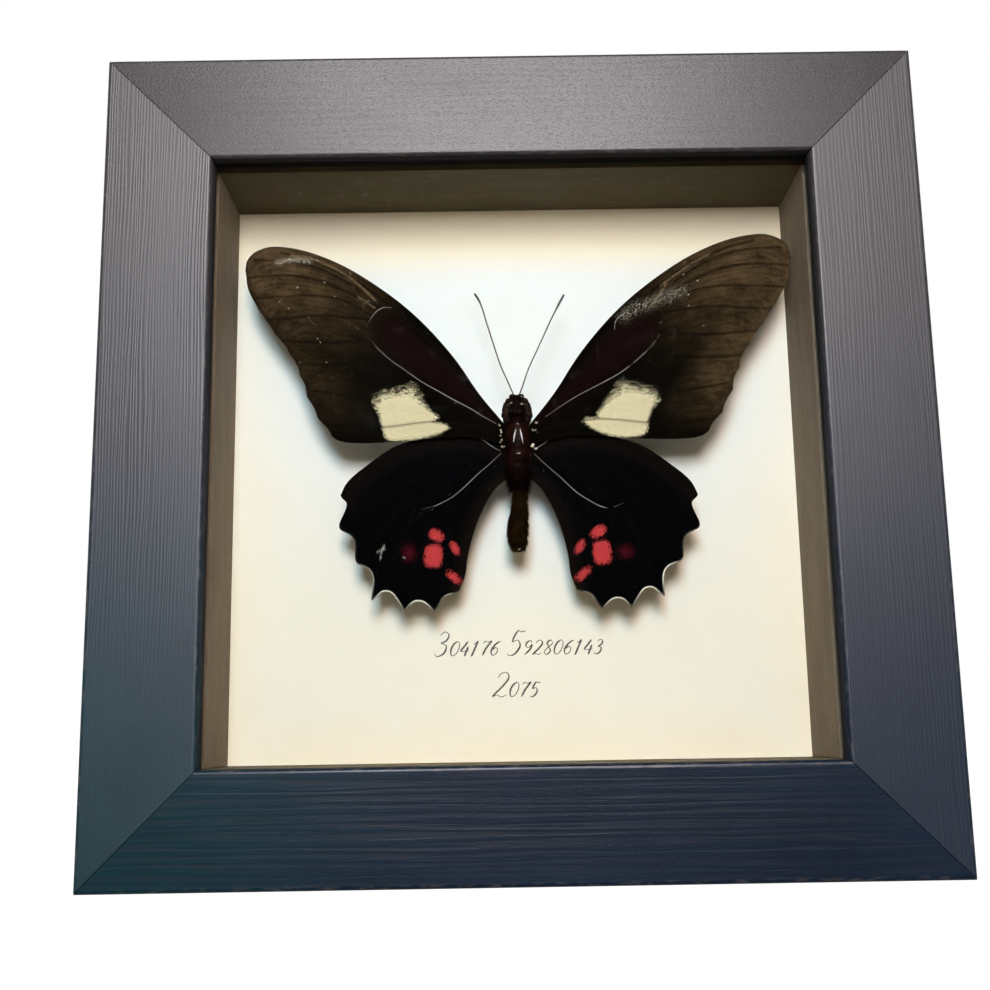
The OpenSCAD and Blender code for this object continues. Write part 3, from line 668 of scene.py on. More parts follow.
forewing = {
    "costa": [[1.9, 6.5], [6, 11.7], [10, 17.8], [15, 23.8], [20.5, 28.8], [27.5, 33.6], [34, 36.5],
              [39.5, 37.5], [42.6, 36.7], [44.1, 35.1], [44.4, 33.3]],
    "dorsum": [[1.9, 3.2], [8, 4.6], [14, 4.4], [20, 4], [26, 3.9], [28.8, 4.3], [30, 5.1]],
    "margin": [[44.4, 33.3], [43.8, 29.9], [42, 26.4], [39.4, 22.4], [37, 19], [35.2, 15.2],
               [34, 11.6], [32.2, 8], [30, 5.1]],
    "reach": 44.4, "cells": 8, "scallop": 0.35, "bow": 0.6, "fold": 0.2, "rise": 1.2, "steps": 16,
    "veins": [
        [[3, 5.6], [8, 6.6], [13.4, 7.3], [21.4, 6.5], [27, 6.6], [31.6, 7.2]],
        [[15, 14], [19, 12.6], [25, 11.8], [30, 12.2], [34.4, 13]],
        [[21, 18.5], [25, 17.4], [31, 17], [36.2, 17.4]],
        [[22.9, 21.4], [28, 20.9], [33, 20.9], [38.4, 21.3]],
        [[23.9, 24.6], [28, 25.2], [32.4, 25.5], [37, 25.1], [41, 24.9]],
        [[23.7, 25.4], [27.4, 27.7], [31, 28.7], [35, 28.9], [42.9, 28.5]],
        [[22.4, 26.6], [25, 28], [28.4, 29.9], [33.4, 31.9], [38.4, 32.5], [43.8, 32.1]],
        [[25.6, 29.7], [29, 32], [33, 33.9], [37.6, 35], [43, 35.2]],
        [[4, 8.2], [10.5, 16.3], [15.6, 22.4], [20.4, 26.9], [27, 31.9], [33.5, 35], [38.6, 36.5]],
    ],
    "cell": [[3, 7.6], [9, 14.4], [15, 21.4], [20, 26.2], [22.6, 25.6], [23.4, 23.6], [22.6, 20.4],
             [17, 15.4], [9, 10.2], [3, 6.9]],
}
forewingMarks = {
    "forewing_left": {
        "patch": [[-16.4, 13.4], [-18, 12.8], [-20.5, 12.4], [-22.2, 11.6], [-22.8, 10.3], [-21.9, 8.6],
                  [-21.4, 6.3], [-20.8, 4.6], [-20, 4.1], [-17, 4.2], [-14, 4.7], [-12, 5.3], [-10.5, 6.2],
                  [-11, 6.9], [-13, 7.3], [-12.2, 8.1], [-13.8, 9.3], [-14.8, 10.5], [-15.2, 11.5]],
        "paleVein": [[-22.9, 21], [-22.2, 19.8], [-20, 17.7], [-18, 16.2], [-15, 14], [-12.5, 12.5], [-10, 11],
                     [-7.5, 9.6], [-5, 8], [-3, 6.8]],
        "arc": [[-19.8, 26.6], [-21.2, 26.6], [-22.4, 25.9], [-23.2, 24.8], [-23.5, 24.1]],
        "streaks": [[[-36.5, 35.9], [-33, 35.2], [-29, 33.4], [-25.6, 31], [-22.4, 27.8]],
                    [[-25.2, 28.4], [-23.6, 27.4], [-22.6, 26.6]]],
        "frost": [[-38.6, 34.7], [-36, 35.1], [-33.4, 34.9]], "frostRadius": 0.4, "frostStrength": 1,
        "wornEdge": 0.3, "specks": 1,
    },
    "forewing_right": {
        "patch": [[17.3, 13.3], [19.5, 12.9], [21.5, 12.3], [23, 11.3], [23.5, 10.3], [22.2, 8.8], [21.6, 7],
                  [21.4, 5.2], [20.5, 4.4], [18, 4.1], [15.5, 4.4], [13.5, 5.2], [12, 6], [10.9, 7],
                  [11.5, 7.6], [13.5, 7.6], [13.3, 8.4], [14.3, 9.4], [15, 10.5], [16, 11.5]],
        "paleVein": [[24.2, 21.7], [23.2, 20.3], [22.5, 19.3], [21, 17.9], [19, 16.2], [17, 14.8], [15, 13.7],
                     [12.5, 12.4], [10, 11.1], [7, 9.2], [5, 7.8]],
        "arc": [[16.6, 22.2], [16.8, 23.6], [17.7, 24.7], [19, 25.4]],
        "streaks": [[[24.6, 29.9], [27.4, 31.9], [30, 33.6], [32.6, 35]],
                    [[22.6, 26.2], [24.2, 28.2], [25.2, 29.9]]],
        "frost": [[18.2, 24.6], [20.2, 26], [22.4, 26.6], [24.6, 27.6],
                  [28, 28.8]], "frostRadius": 0.9, "frostStrength": 0.5,
        "wornEdge": 0.95, "specks": 0.25,
    },
}
hindwing = {
    "costa": [[1.8, 3.4], [8, 5.2], [15, 4.7], [20.2, 3.1], [25, -0.3], [27.5, -2.6], [28.6, -4.8]],
    "dorsum": [[1.6, -1.9], [3.8, -3.9], [5.9, -7.6], [7.2, -11.2], [8, -14.6], [8.4, -17.6], [9.4, -20.1]],
    "teeth": [[28.6, -4.8], [28.95, -9.9], [26, -15.6], [23.2, -21.5], [17.9, -23.2], [13.3, -23.2], [9.4, -20.1]],
    "notches": [
        [[28.2, -5.5], [27.55, -5.9], [27.75, -7.1], [28.4, -8.5]],
        [[28.2, -10.6], [26.8, -11.1], [26.1, -12.4], [26.1, -14.1]],
        [[25, -15.95], [23.6, -16.5], [22.95, -18.1], [23.05, -20]],
        [[22.4, -20.9], [21.3, -20], [20, -20.2], [18.9, -21.6]],
        [[17.2, -22.3], [16.2, -21.6], [15, -21.7], [14, -22.5]],
        [[12.6, -22.4], [11.8, -21.1], [10.9, -20.55], [10.1, -20.4]],
    ],
    "cells": 6, "blunt": 0.02, "bow": 0.2, "fold": 1, "rise": 0.3, "steps": 28,
    "shoulderShift": 0.12, "teethShift": -0.4, "shoulderDrop": -0.35,
    "veins": [
        [[3, 1.6], [8, 3.2], [14, 2.9], [20, 0.6], [24.6, -2.2], [27.6, -5]],
        [[15.5, -1.4], [20, -3.6], [24.4, -6.8], [28, -9.6]],
        [[17.3, -4.4], [20.6, -8.4], [23.4, -12], [25.3, -15]],
        [[16.6, -6.9], [18.6, -11.6], [20.8, -16.8], [22.6, -21]],
        [[14.2, -6.9], [15.2, -11.8], [15.9, -17.4], [17.7, -22.6]],
        [[11, -5.4], [11.3, -11], [11.6, -16], [13.1, -22.6]],
        [[3, -0.2], [6.4, -5.6], [9, -11.4], [9.6, -16], [9.6, -19.6]],
    ],
}
hindwingMarks = {
    # red spots: [x, up, half length, half height, tilt in degrees, squareness]
    "hindwing_left": {
        "red": [[-12.8, -11.1, 1.3, 0.95, -32, 2.4], [-13.3, -14.4, 1.5, 1.95, -4, 3.2],
                [-9.9, -13.2, 1.15, 0.65, -62, 2.2],
                [-10.1, -17.8, 1.45, 0.7, -38, 2.4]],
        "faint": [[-17.2, -13.9, 1.2, 1.5, 0, 2]],
        "paleVeins": [[[-2.3, 2.1], [-4, 0.5], [-6, -1.2], [-8, -3.1], [-10, -4.8], [-12, -5.9], [-13.5, -6.5],
                       [-15.2, -6.8]],
                      [[-6.2, 4.7], [-5, 4.2], [-3.5, 3.1], [-2.2, 2.4]]],
        "white": [0, 0.1, 0.35, 1, 1, 0.3],
        "scratches": [[[-21.15, -12.5], [-21.5, -13.7], [-21.75, -14.8]], [[-22.2, -13.7], [-21, -13.05]],
                      [[-18.05, -14.5], [-17.9, -14.6]], [[-10.85, -20.6], [-10.8, -20.7]]],
    },
    "hindwing_right": {
        "red": [[13, -10.9, 1.4, 0.9, 30, 2.4], [13.5, -14.25, 1.5, 2, 4, 3.2], [10, -13.3, 1.2, 0.65, 58, 2.2],
                [10.4, -17.6, 1.5, 0.7, 42, 2.4]],
        "faint": [[17.3, -14.2, 1.4, 1.2, 0, 2]],
        "paleVeins": [[[3, 2], [5, 0], [7, -1.8], [8.5, -3.3], [10, -4.7], [12, -6], [13.5, -6.8], [15.2, -7.1],
                       [17.2, -6.3]],
                      [[2.9, 2.6], [4.2, 3.3], [5.5, 4.2], [6.8, 4.7], [8, 4.9]]],
        "white": [0, 0.1, 1, 1, 0.9, 0.2],
        "scratches": [[[10.45, -20.65], [10.5, -20.7]]],
    },
}


def wingSheet(wing, edge, side, scale, drift, thickness=(0.09, 0.28), rows=150):
    # blended between its four edges: the line from root to margin edge plus the lean of the front and
    # hind edges, less the corners counted twice; pleated from vein to vein, thicker at the root
    columns = wing["cells"] * wing["steps"]
    s, r = np.meshgrid(np.linspace(0, 1, columns + 1), np.linspace(0, 1, rows + 1), indexing="ij")
    costa, dorsum = spline(wing["costa"], r), spline(wing["dorsum"], r)
    front, hind = np.array(wing["costa"][0], float), np.array(wing["dorsum"][0], float)
    margin, first, last = edge(s), edge(np.zeros_like(s)), edge(np.ones_like(s))
    sk, rk = s[..., None], r[..., None]
    flat = ((1 - rk) * (front + (hind - front) * sk) + rk * margin + (1 - sk) * costa + sk * dorsum
            - (1 - sk) * ((1 - rk) * front + rk * first) - sk * ((1 - rk) * hind + rk * last))
    flat += drift(s) * rk
    flat = front * [0, 1] + (flat - front * [0, 1]) * scale
    depth = (wing["fold"] * s ** 6 * r - wing["bow"] * r ** 2
             - 0.12 * np.cos(2 * math.pi * wing["cells"] * s) * r) * scale
    half = (thickness[0] + (thickness[1] - thickness[0]) * (1 - r) ** 3) / 2
    x, z, y = bodyX + side * flat[..., 0], midZ + flat[..., 1], bodyY - wing["rise"] + depth
    front = np.stack([x, y - half, z], -1)
    back = np.stack([x, y + half, z], -1)
    return s, r, front, back


def closedSheet(front, back):
    # a front and a back grid, joined all round: down the front rows and back up the others, then
    # across at the first and the last column
    rows, columns = front.shape[:2]
    points = np.concatenate([front, back[::-1]]).reshape(-1, 3)
    faces = [gridQuads(2 * rows, columns, wrapRows=True)]
    i = np.arange(rows - 1)
    for j, order in ((0, 1), (columns - 1, -1)):
        near, far = i * columns + j, (2 * rows - 1 - i) * columns + j
        faces.append(np.stack([near, near + columns, far - columns, far], -1)[:, ::order])
    return points, np.vstack(faces)


def forewingEdge(s):
    # smooth margin, drawn in towards the root between each two veins except near the tip
    p = spline(forewing["margin"], s)
    inwards = np.array(forewing["costa"][0]) - p
    inwards /= np.linalg.norm(inwards, axis=-1, keepdims=True)
    scallop = forewing["scallop"] * smoothstep(0.1, 0.5, s) * np.abs(np.sin(math.pi * forewing["cells"] * s))
    return p + inwards * scallop[..., None]


def hindwingEdge(s):
    # from each tooth to the next, a spline through the four points of the notch between them; the
    # mean of places a little before and after rounds the teeth, the upper ones most
    teeth, notches = hindwing["teeth"], hindwing["notches"]
    blunt = hindwing["blunt"] * smoothstep(0, 0.02, s) * (1 - 0.85 * smoothstep(0.35, 0.6,
        s)) * (1 - smoothstep(0.98, 1, s))
    mean = np.zeros(s.shape + (2,))
    for step in (-1, -0.5, 0, 0.5, 1):
        place = (s + step * blunt) * len(notches)
        cell = np.clip(place.astype(int), 0, len(notches) - 1)
        for i, notch in enumerate(notches):
            mean[cell == i] += spline([teeth[i], *notch, teeth[i + 1]], (place - i)[cell == i]) / 5
    return mean


def spotDepth(points, spot):
    # how far inside a tilted, more or less squared ellipse a point lies, about in millimetres
    x, up, long, high, tilt, square = spot
    turn = math.radians(tilt)
    dx, dz = points[:, 0] - x, points[:, 1] - up
    u = (dx * math.cos(turn) + dz * math.sin(turn)) / long
    v = (dz * math.cos(turn) - dx * math.sin(turn)) / high
    return (1 - (np.abs(u) ** square + np.abs(v) ** square) ** (1 / square)) * min(long, high)


def mirrored(line, side, scale=1, about=0):
    # a drawn line [outwards, up] as [x, up] on one side of the body
    p = np.array(line, float)
    return np.stack([bodyX + side * p[:, 0] * scale, about + (p[:, 1] - about) * scale], -1)


forewingLook = {
    "black": (0.0022, 0.0019, 0.0012), "brown": (0.112, 0.072, 0.035), "rust": (0.064, 0.04, 0.021),
    "maroon": (0.0058, 0.0024, 0.0021), "cream": (0.62, 0.565, 0.37), "pale": (0.24, 0.165, 0.095),
    "frost": (0.62, 0.57, 0.46), "bare": (0.4, 0.38, 0.36),
}
hindwingLook = {
    "black": (0.0014, 0.0015, 0.002), "brown": (0.007, 0.0045, 0.0035), "red": (0.56, 0.06, 0.065),
    "redDark": (0.24, 0.012, 0.015), "faint": (0.05, 0.004, 0.008), "white": (0.86, 0.85, 0.76), "bare": (0.5, 0.5,
        0.48),
}


def scalesOn(name):
    return use(wingScales, Vector=newMaterial(name), Along=attribute("along"), Across=attribute("across"))


def scaly(colour, scales):
    return surface(colour, scales["Grain"] * 0.2 + 0.5, 0, scales["Streak"] * 0.6 + scales["Grain"], 0.03)


def forewingMaterial(look):
    scales = scalesOn("forewing_scales")
    mottled = attribute("worn") * (scales["Grain"] * 1.1 + scales["Blotch"] * 1.6 - 0.7)
    ground = blend(ramp(scales["Streak"], 0.35, 0.65), look["brown"], look["rust"])
    colour = blend(mottled, look["black"], ground)
    colour = blend(attribute("cell"), colour, look["maroon"])
    darkVein = 1 - ramp(attribute("vein"), 0.05, 0.4)
    colour = blend(darkVein * 0.6, colour, look["black"])
    # the pale streaks along the front edge towards the tip are a painted sheen
    colour = blend(attribute("streak") * ramp(scales["Grain"], 0.3, 0.6), colour, look["pale"])
    colour = blend(attribute("frost") * ramp(scales["Grain"], 0.5, 0.6), colour, look["frost"])
    # the patch's edge is frayed: its depth is moved by the fray before it is cut off, most at its upper edge
    patch = ramp(attribute("patch") + (scales["Fray"] - 0.72) * attribute("dust"), -0.22, 0.24)
    cream = shade(look["cream"], scales["Fray"] * 0.16 + 0.88)
    colour = blend(patch, colour, blend(darkVein * 0.45, cream, look["brown"]))
    return scaly(blend(scales["Bare"] * attribute("bare"), colour, look["bare"]), scales)


def hindwingMaterial(look):
    scales = scalesOn("hindwing_scales")
    colour = blend(attribute("warm") * (scales["Blotch"] * 1.2 + 0.2), look["black"], look["brown"])
    ragged = scales["Fray"] * 0.55 - 0.4
    colour = blend(ramp(ragged * 2 + attribute("faint"), -0.5, 0.9), colour, look["faint"])
    reds = blend(scales["Fray"] * 0.5 + 0.4, look["redDark"], look["red"])
    colour = blend(ramp(attribute("red") + ragged, -0.12, 0.2), colour, reds)
    colour = blend(attribute("white") * (1 - ramp(attribute("edge"), 0.14, 0.26)), colour, look["white"])
    return scaly(blend(ramp(scales["Grain"], 0.35, 0.6) * attribute("bare"), colour, look["bare"]), scales)


def flatOf(grid):
    return grid.reshape(-1, 3)[:, [0, 2]] - [0, midZ]


def drawn(line, count=16):
    return spline(line, np.linspace(0, 1, count))


def wingPiece(name, s, r, front, back, values, material):
    # values of the front grid are repeated for the back grid, whose rows run the other way
    grids = {label: np.reshape(numbers, s.shape) for label, numbers in {"along": r, "across": s, **values}.items()}
    grids = {label: np.concatenate([grid, grid[::-1]]) for label, grid in grids.items()}
    makePiece(name + "_scales", closedSheet(front, back), material, grids, [name])


def makeForewing(name, side, marks, material):
    scale = side * (span(name, 0)[0 if side < 0 else 1] - bodyX) / forewing["reach"]
    s, r, front, back = wingSheet(forewing, forewingEdge, side, scale, lambda share: 0)
    flat, root = flatOf(front), forewing["costa"][0][1]
    veins = [drawn(mirrored(line, side, scale, root), 24) for line in forewing["veins"]]
    outwards, up = side * (flat[:, 0] - bodyX), flat[:, 1]
    edge = lineDistance(flat, flatOf(front[:, -1]))
    worn = smoothstep(13, 35, up) * smoothstep(15, 38, outwards) * (0.4 + 0.6 * smoothstep(0, 1.2, edge))
    rim = marks["wornEdge"] * (1 - smoothstep(0, 10, edge)) * smoothstep(3, 16, up)
    cell = smoothstep(-1.5, 1.5, outlineDepth(flat, mirrored(forewing["cell"], side, scale, root)))
    frost = hill(lineDistance(flat, drawn(marks["frost"])), 0, marks["frostRadius"])
    speckled = smoothstep(10, 16, up) * smoothstep(8, 14, outwards) * (1 - smoothstep(26, 32, outwards))
    wingPiece(name, s, r, front, back, {
        "vein": np.min([lineDistance(flat, line) for line in veins], 0),
        # streak: where the painted sheen lies along the front edge
        "streak": np.max([hill(lineDistance(flat, drawn(line)), 0, 0.13) for line in marks["streaks"]], 0),
        "worn": np.maximum(worn, rim), "cell": cell * (1 - worn), "patch": outlineDepth(flat,
            np.array(marks["patch"])),
        "frost": frost * marks["frostStrength"], "dust": 0.5 + 2.2 * smoothstep(8.5, 13, up),
        "bare": marks["specks"] * speckled,
    }, material)
    return front, veins


def makeHindwing(name, side, marks, material):
    # the shoulder lies a little to the right of its drawn place and the lower teeth to the left, and
    # the right wing's shoulder a little lower than the left one's
    def drift(share):
        ease = np.minimum(1, share / 0.5) ** 2
        sideways = hindwing["shoulderShift"] + (hindwing["teethShift"] - hindwing["shoulderShift"]) * ease
        return side * np.stack([sideways, hindwing["shoulderDrop"] * (1 - ease)], -1)

    s, r, front, back = wingSheet(hindwing, hindwingEdge, side, 1, drift)
    flat, cells = flatOf(front), hindwing["cells"]
    notch = np.minimum((s * cells).astype(int), cells - 1)
    fore, inner, edge = (lineDistance(flat, flatOf(line)) for line in (front[0], front[-1], front[:, -1]))
    wingPiece(name, s, r, front, back, {
        "white": np.array(marks["white"])[notch] * hill(s * cells - notch, 0.5, 0.33), "edge": edge,
        "warm": np.maximum(hill(inner, 0, 1.6), 0.8 * hill(fore, 0, 2.4)),
        "red": np.max([spotDepth(flat, spot) for spot in marks["red"]], 0),
        "faint": np.max([spotDepth(flat, spot) for spot in marks["faint"]], 0),
        "bare": np.max([hill(lineDistance(flat, np.array(line, float)), 0, 0.1) for line in marks["scratches"]], 0),
    }, material)
    return front, [drawn(mirrored(line, side), 24) for line in hindwing["veins"]]


forewingScales, hindwingScales = forewingMaterial(forewingLook), hindwingMaterial(hindwingLook)
wings = {}
for wingName, marks in forewingMarks.items():
    wings[wingName] = makeForewing(wingName, -1 if "left" in wingName else 1, marks, forewingScales)
for wingName, marks in hindwingMarks.items():
    wings[wingName] = makeHindwing(wingName, -1 if "left" in wingName else 1, marks, hindwingScales)
print("wings made")

# Veins: fine tubes let into the wing's front. Dark ones stiffen the whole wing, pale ones leave the hinge

veinLook = {"sides": 6, "steps": 26, "sunk": 0.03}
veinColours = {
    # colour at the root, in the middle and at the tip, radius at the root and at the tip
    "dark_veins": ((0.003, 0.002, 0.002), (0.004, 0.003, 0.0025), (0.014, 0.009, 0.006), (0.06, 0.025)),
    "pale_veins": ((0.2, 0.17, 0.15), (0.56, 0.54, 0.54), (0.14, 0.11, 0.09), (0.06, 0.035)),
}


def veinTubes(front, lines, radii, look):
    # each point of a line takes the depth of the front grid's nearest point
    share = np.linspace(0, 1, look["steps"])
    flat = np.stack([spline(line, share) for line in lines])
    grid = front.reshape(-1, 3)
    gap = (flat[..., None, 0] - grid[:, 0]) ** 2 + (flat[..., None, 1] + midZ - grid[:, 2]) ** 2
    depth = grid[gap.argmin(-1), 1] + look["sunk"]
    paths = np.stack([flat[..., 0], depth, flat[..., 1] + midZ], -1)
    return tubes(paths, np.broadcast_to(radii[0] + (radii[1] - radii[0]) * share, paths.shape[:2]), look["sides"])


def veinMaterial(name, root, middle, tip, radii):
    cloud = use(mottle, Vector=newMaterial(name), Size=2)
    share = attribute("share")
    colour = blend(ramp(share, 0.8, 1), blend(ramp(share, 0, 0.45), root, middle), tip)
    return surface(shade(colour, cloud["Blotch"] * 1.2 + 0.3), cloud["Grain"] * 0.2 + 0.4, 0.01, cloud["Grain"],
                   0.01)


veinFinish = {name: veinMaterial(name, *look) for name, look in veinColours.items()}
for wingName, (front, lines) in wings.items():
    marks = forewingMarks.get(wingName) or hindwingMarks[wingName]
    pale = marks.get("paleVeins") or [marks["paleVein"][::-1], marks["arc"]]
    for ending, finish, routes in (("_veins", "dark_veins", lines), ("_pale_veins", "pale_veins", pale)):
        shape, values = veinTubes(front, routes, veinColours[finish][3], veinLook)
        makePiece(wingName + ending, shape, veinFinish[finish], values)
print("veins made")

# Body. Profiles are [half width, up, sideways] from the body's middle line

chance = np.random.default_rng(7)


def shell(profile, around, along, relief):
    # closed form about an upright line: its half width follows a spline of the profile, and the
    # relief, a function of the turn round it and the height, moves the surface outwards
    p = spline(profile, np.linspace(0, 1, along + 1))[:, None]
    turn = np.arange(around) * 2 * math.pi / around
    wide = np.maximum(p[..., 0], 0)
    out = wide + relief(turn, p[..., 1]) * np.clip(wide * 3, 0, 1)
    x = bodyX + p[..., 2] + out * np.cos(turn)
    points = np.stack([x, bodyY - out * np.sin(turn), midZ + p[..., 1] + 0 * x], -1)
    return points.reshape(-1, 3), gridQuads(along + 1, around, wrapColumns=True)


def lobe(centre, radii, around=18, along=12):
    # ellipsoid [x, y, up] from the body's middle line, its poles up and down
    turn = np.arange(around) * 2 * math.pi / around
    lift = np.linspace(math.pi / 2, -math.pi / 2, along + 1)[:, None]
    x = bodyX + centre[0] + radii[0] * np.cos(lift) * np.cos(turn)
    y = bodyY + centre[1] - radii[1] * np.cos(lift) * np.sin(turn)
    z = midZ + centre[2] + radii[2] * np.sin(lift) + 0 * turn
    return np.stack([x, y, z], -1).reshape(-1, 3), gridQuads(along + 1, around, wrapColumns=True)


def fur(shape, count, low, high, length, radius, lie, spread=0.35, sides=3, steps=4):
    # strands rooted on a form's points between two heights: each leaves along the outward direction
    # plus the lie, and bends further that way; lie is [sideways, depth, up]
    up = shape[0][:, 2] - midZ
    roots = shape[0][chance.choice(np.flatnonzero((up > low) & (up < high)), count)]
    outward = (roots - [bodyX, bodyY, 0]) * [1, 1, 0]
    outward /= np.maximum(np.linalg.norm(outward, axis=1, keepdims=True), 0.01)
    ahead = outward + lie + chance.normal(0, spread, roots.shape)
    ahead /= np.linalg.norm(ahead, axis=1, keepdims=True)
    long = length * chance.uniform(0.6, 1.15, (count, 1, 1))
    t = np.linspace(0, 1, steps)[:, None]
    paths = roots[:, None] + ahead[:, None] * long * t + np.array(lie) * 0.5 * long * t ** 2
    return tubes(paths, np.broadcast_to(radius * (1 - t[:, 0]), paths.shape[:2]), sides)


furrows = {  # height, half width and depth of the furrows across
    "thorax": [(2.35, 0.15, 0.12), (0.1, 0.2, 0.12), (-1.7, 0.2, 0.1)],
    "abdomen": [(height, 0.16, 0.12) for height in (-4.6, -5.9, -7.3, -8.8, -10.3, -11.7, -13)],
}


def furrowed(node, out, up):
    for height, width, depth in furrows[node]:
        out = out - depth * hill(up, height, width)
    return out


def thoraxRelief(turn, up):
    # a swelling low on the back, less the furrows across
    return furrowed("thorax", 0.1 * hill(up, 1.3, 0.7) * hill(turn, math.pi / 2, 0.7), up)


def headRelief(turn, up):
    return 0.04 * np.sin(7 * turn + 3 * up)


def abdomenRelief(turn, up):
    # furrows between the rings, a low keel at either side, and uneven swellings
    swelling = 0.03 * np.sin(3 * turn + 2.3 * up) + 0.03 * np.sin(5 * turn - 4.1 * up)
    return furrowed("abdomen", 0.05 * np.abs(np.cos(turn)) + swelling, up)


bodyForms = {  # new piece, its finish, profile, points round it and along it, relief
    "thorax": ("thorax_shell", "thorax_shell",
               [[0, 8.4, 0], [0.95, 8.2, 0], [1.55, 7.6, 0], [2.05, 6.4, 0], [2.32, 4.6, 0], [2.3, 2.4, 0],
                [2.1, 0.3, 0], [1.75, -1.6, 0.02], [1.3, -3.2, 0.1], [0.6, -3.9, 0.15], [0, -4, 0.15]],
               72, 110, thoraxRelief),
    "head": ("head_shell", "thorax_shell",
             [[0, 11.45, 0.1], [0.8, 11.3, 0.1], [1.2, 10.7, 0.1], [1.35, 9.8, 0.05], [1.4, 8.8, 0], [1.2, 8.2, 0],
              [0, 8, 0]],
             48, 48, headRelief),
    "abdomen": ("abdomen_rings", "abdomen_skin",
                [[0, -3.3, 0.25], [0.85, -3.45, 0.25], [1.1, -4.2, 0.25], [1.12, -5.5, 0.2], [1.25, -7, 0.1],
                 [1.5, -8.6, -0.05], [1.6, -10.6, -0.25], [1.38, -12.5, -0.25], [0.8, -13.6, -0.15], [0, -14.05,
                     -0.1]],
                56, 130, abdomenRelief),
}
bodyColours = {
    # first and second colour, specular, roughness, size of the blotches, relief
    "thorax_shell": ((0.0025, 0.001, 0.0009), (0.013, 0.0032, 0.002), 0.005, 0.4, 2.2, 0.03),
    "abdomen_skin": ((0.004, 0.0022, 0.0008), (0.014, 0.0076, 0.0018), 0, 0.55, 1.8, 0.05),
    "shoulder_scales": ((0.003, 0.0013, 0.0008), (0.014, 0.0062, 0.0024), 0.01, 0.42, 0.9, 0.06),
    "hinge_ivory": ((0.82, 0.76, 0.64), (0.5, 0.36, 0.25), 0.3, 0.4, 0.6, 0.04),
    "ridge_gloss": ((0.012, 0.004, 0.002), (0.03, 0.01, 0.005), 0.1, 0.3, 0.5, 0.05,
                    {"Coat Weight": 1, "Coat Roughness": 0.1, "Coat IOR": 2.6}),
    "compound_eye": ((0.006, 0.0025, 0.0015), (0.018, 0.007, 0.0035), 0.03, 0.28, 1.3, 0.03),
}
furColours = {  # root and tip
    "black_fur": ((0.002, 0.0015, 0.0015), (0.005, 0.0032, 0.0028)),
    "brown_fur": ((0.003, 0.0018, 0.0008), (0.034, 0.019, 0.007)),
}


def bodyMaterial(name, first, second, specular, roughness, wide, relief, coat={}):
    cloud = use(mottle, Vector=newMaterial(name), Size=wide)
    colour = blend(ramp(cloud["Blotch"], 0.3, 0.7), first, second)
    height = cloud["Speck"] * 0.6 + cloud["Blotch"] + cloud["Grain"] * 0.3
    return surface(colour, cloud["Grain"] * 0.16 + (roughness - 0.08), specular, height, relief, coat)


def furMaterial(name, root, tip):
    cloud = use(mottle, Vector=newMaterial(name), Size=0.8)
    colour = shade(blend(attribute("share"), root, tip), cloud["Blotch"] * 1.4 + 0.3)
    return surface(colour, cloud["Grain"] * 0.2 + 0.45, 0)


bodyFinish = {name: bodyMaterial(name, *look) for name, look in bodyColours.items()}
furFinish = {name: furMaterial(name, *look) for name, look in furColours.items()}
forms = {}
for node, (pieceName, finish, profile, around, along, relief) in bodyForms.items():
    forms[node] = shell(profile, around, along, relief)
    makePiece(pieceName, forms[node], bodyFinish[finish], replaces=[node])

coats = {  # form, finish; count, lowest, highest, length, radius, lie
    "collar_fur": ("thorax", "black_fur", 700, 6.4, 8.3, 0.8, 0.04, (0, -0.1, 0.5)),
    "nape_fur": ("head", "black_fur", 900, 8.2, 10.6, 0.5, 0.05, (0, -0.2, 0.3)),
    "brow_tuft": ("head", "black_fur", 380, 10.6, 11.4, 0.4, 0.045, (0, -0.1, 0.5)),
    "loin_fur": ("thorax", "black_fur", 900, -3.6, 0, 1.15, 0.045, (0, 0, -1.1)),
    "thorax_down": ("thorax", "brown_fur", 500, -0.5, 6.2, 0.35, 0.03, (0, 0.4, -0.5)),
    "abdomen_fur": ("abdomen", "brown_fur", 2400, -13.7, -3.6, 0.42, 0.04, (0, 0, -0.9)),
}
for coatName, (node, finish, *strands) in coats.items():
    shape, values = fur(forms[node], *strands)
    makePiece(coatName, shape, furFinish[finish], values)

shoulders = [(1.7, -0.45, 9.1, 0.75, 0.7, 1.1), (1.85, -0.7, 8.3, 0.7, 0.6, 0.85), (1.7, -1, 7.4, 0.6, 0.5, 0.7),
             (1.35, -0.95, 10.6, 0.5, 0.5, 0.5), (0.75, -0.5, 11.45, 0.5, 0.6, 0.42), (0.25, -0.5, 11.4, 0.4, 0.5,
                 0.4)]
shape = joined([lobe((side * x, y, up), radii) for x, y, up, *radii in shoulders for side in (-1, 1)])
makePiece("shoulder_lobes", shape, bodyFinish["shoulder_scales"])

# groups of three pale grains: [sideways, up, half width, half height]
ivory = [[-2.9, 6.6, 0.16, 0.14], [-2.6, 5.5, 0.14, 0.2], [-2.62, 3.9, 0.16, 0.34], [-2.3, 3, 0.3, 0.18],
         [-2.75, 4.7, 0.1, 0.12], [3, 6.8, 0.16, 0.12], [2.45, 5.5, 0.12, 0.24], [2.95, 5.6, 0.12, 0.14],
         [2.45, 3.05, 0.24, 0.2], [2.9, 2.5, 0.2, 0.14], [-0.94, 10.05, 0.16, 0.1], [0.83, 10, 0.2, 0.1],
         [-0.1, -13.7, 0.12, 0.12]]
grains = [lobe((x + wide * dx, -1.45 if up < 9 else -1.75, up + high * dz),
               (wide * part * 1.25, 0.22, high * part * 1.15), 12, 8)
          for x, up, wide, high in ivory for dx, dz, part in chance.uniform((-1.1, -1.1, 0.35), (1.1, 1.1, 0.85),
              (3, 3))]
makePiece("hinge_flecks", joined(grains), bodyFinish["hinge_ivory"])
dress(["eyes"], bodyFinish["compound_eye"])

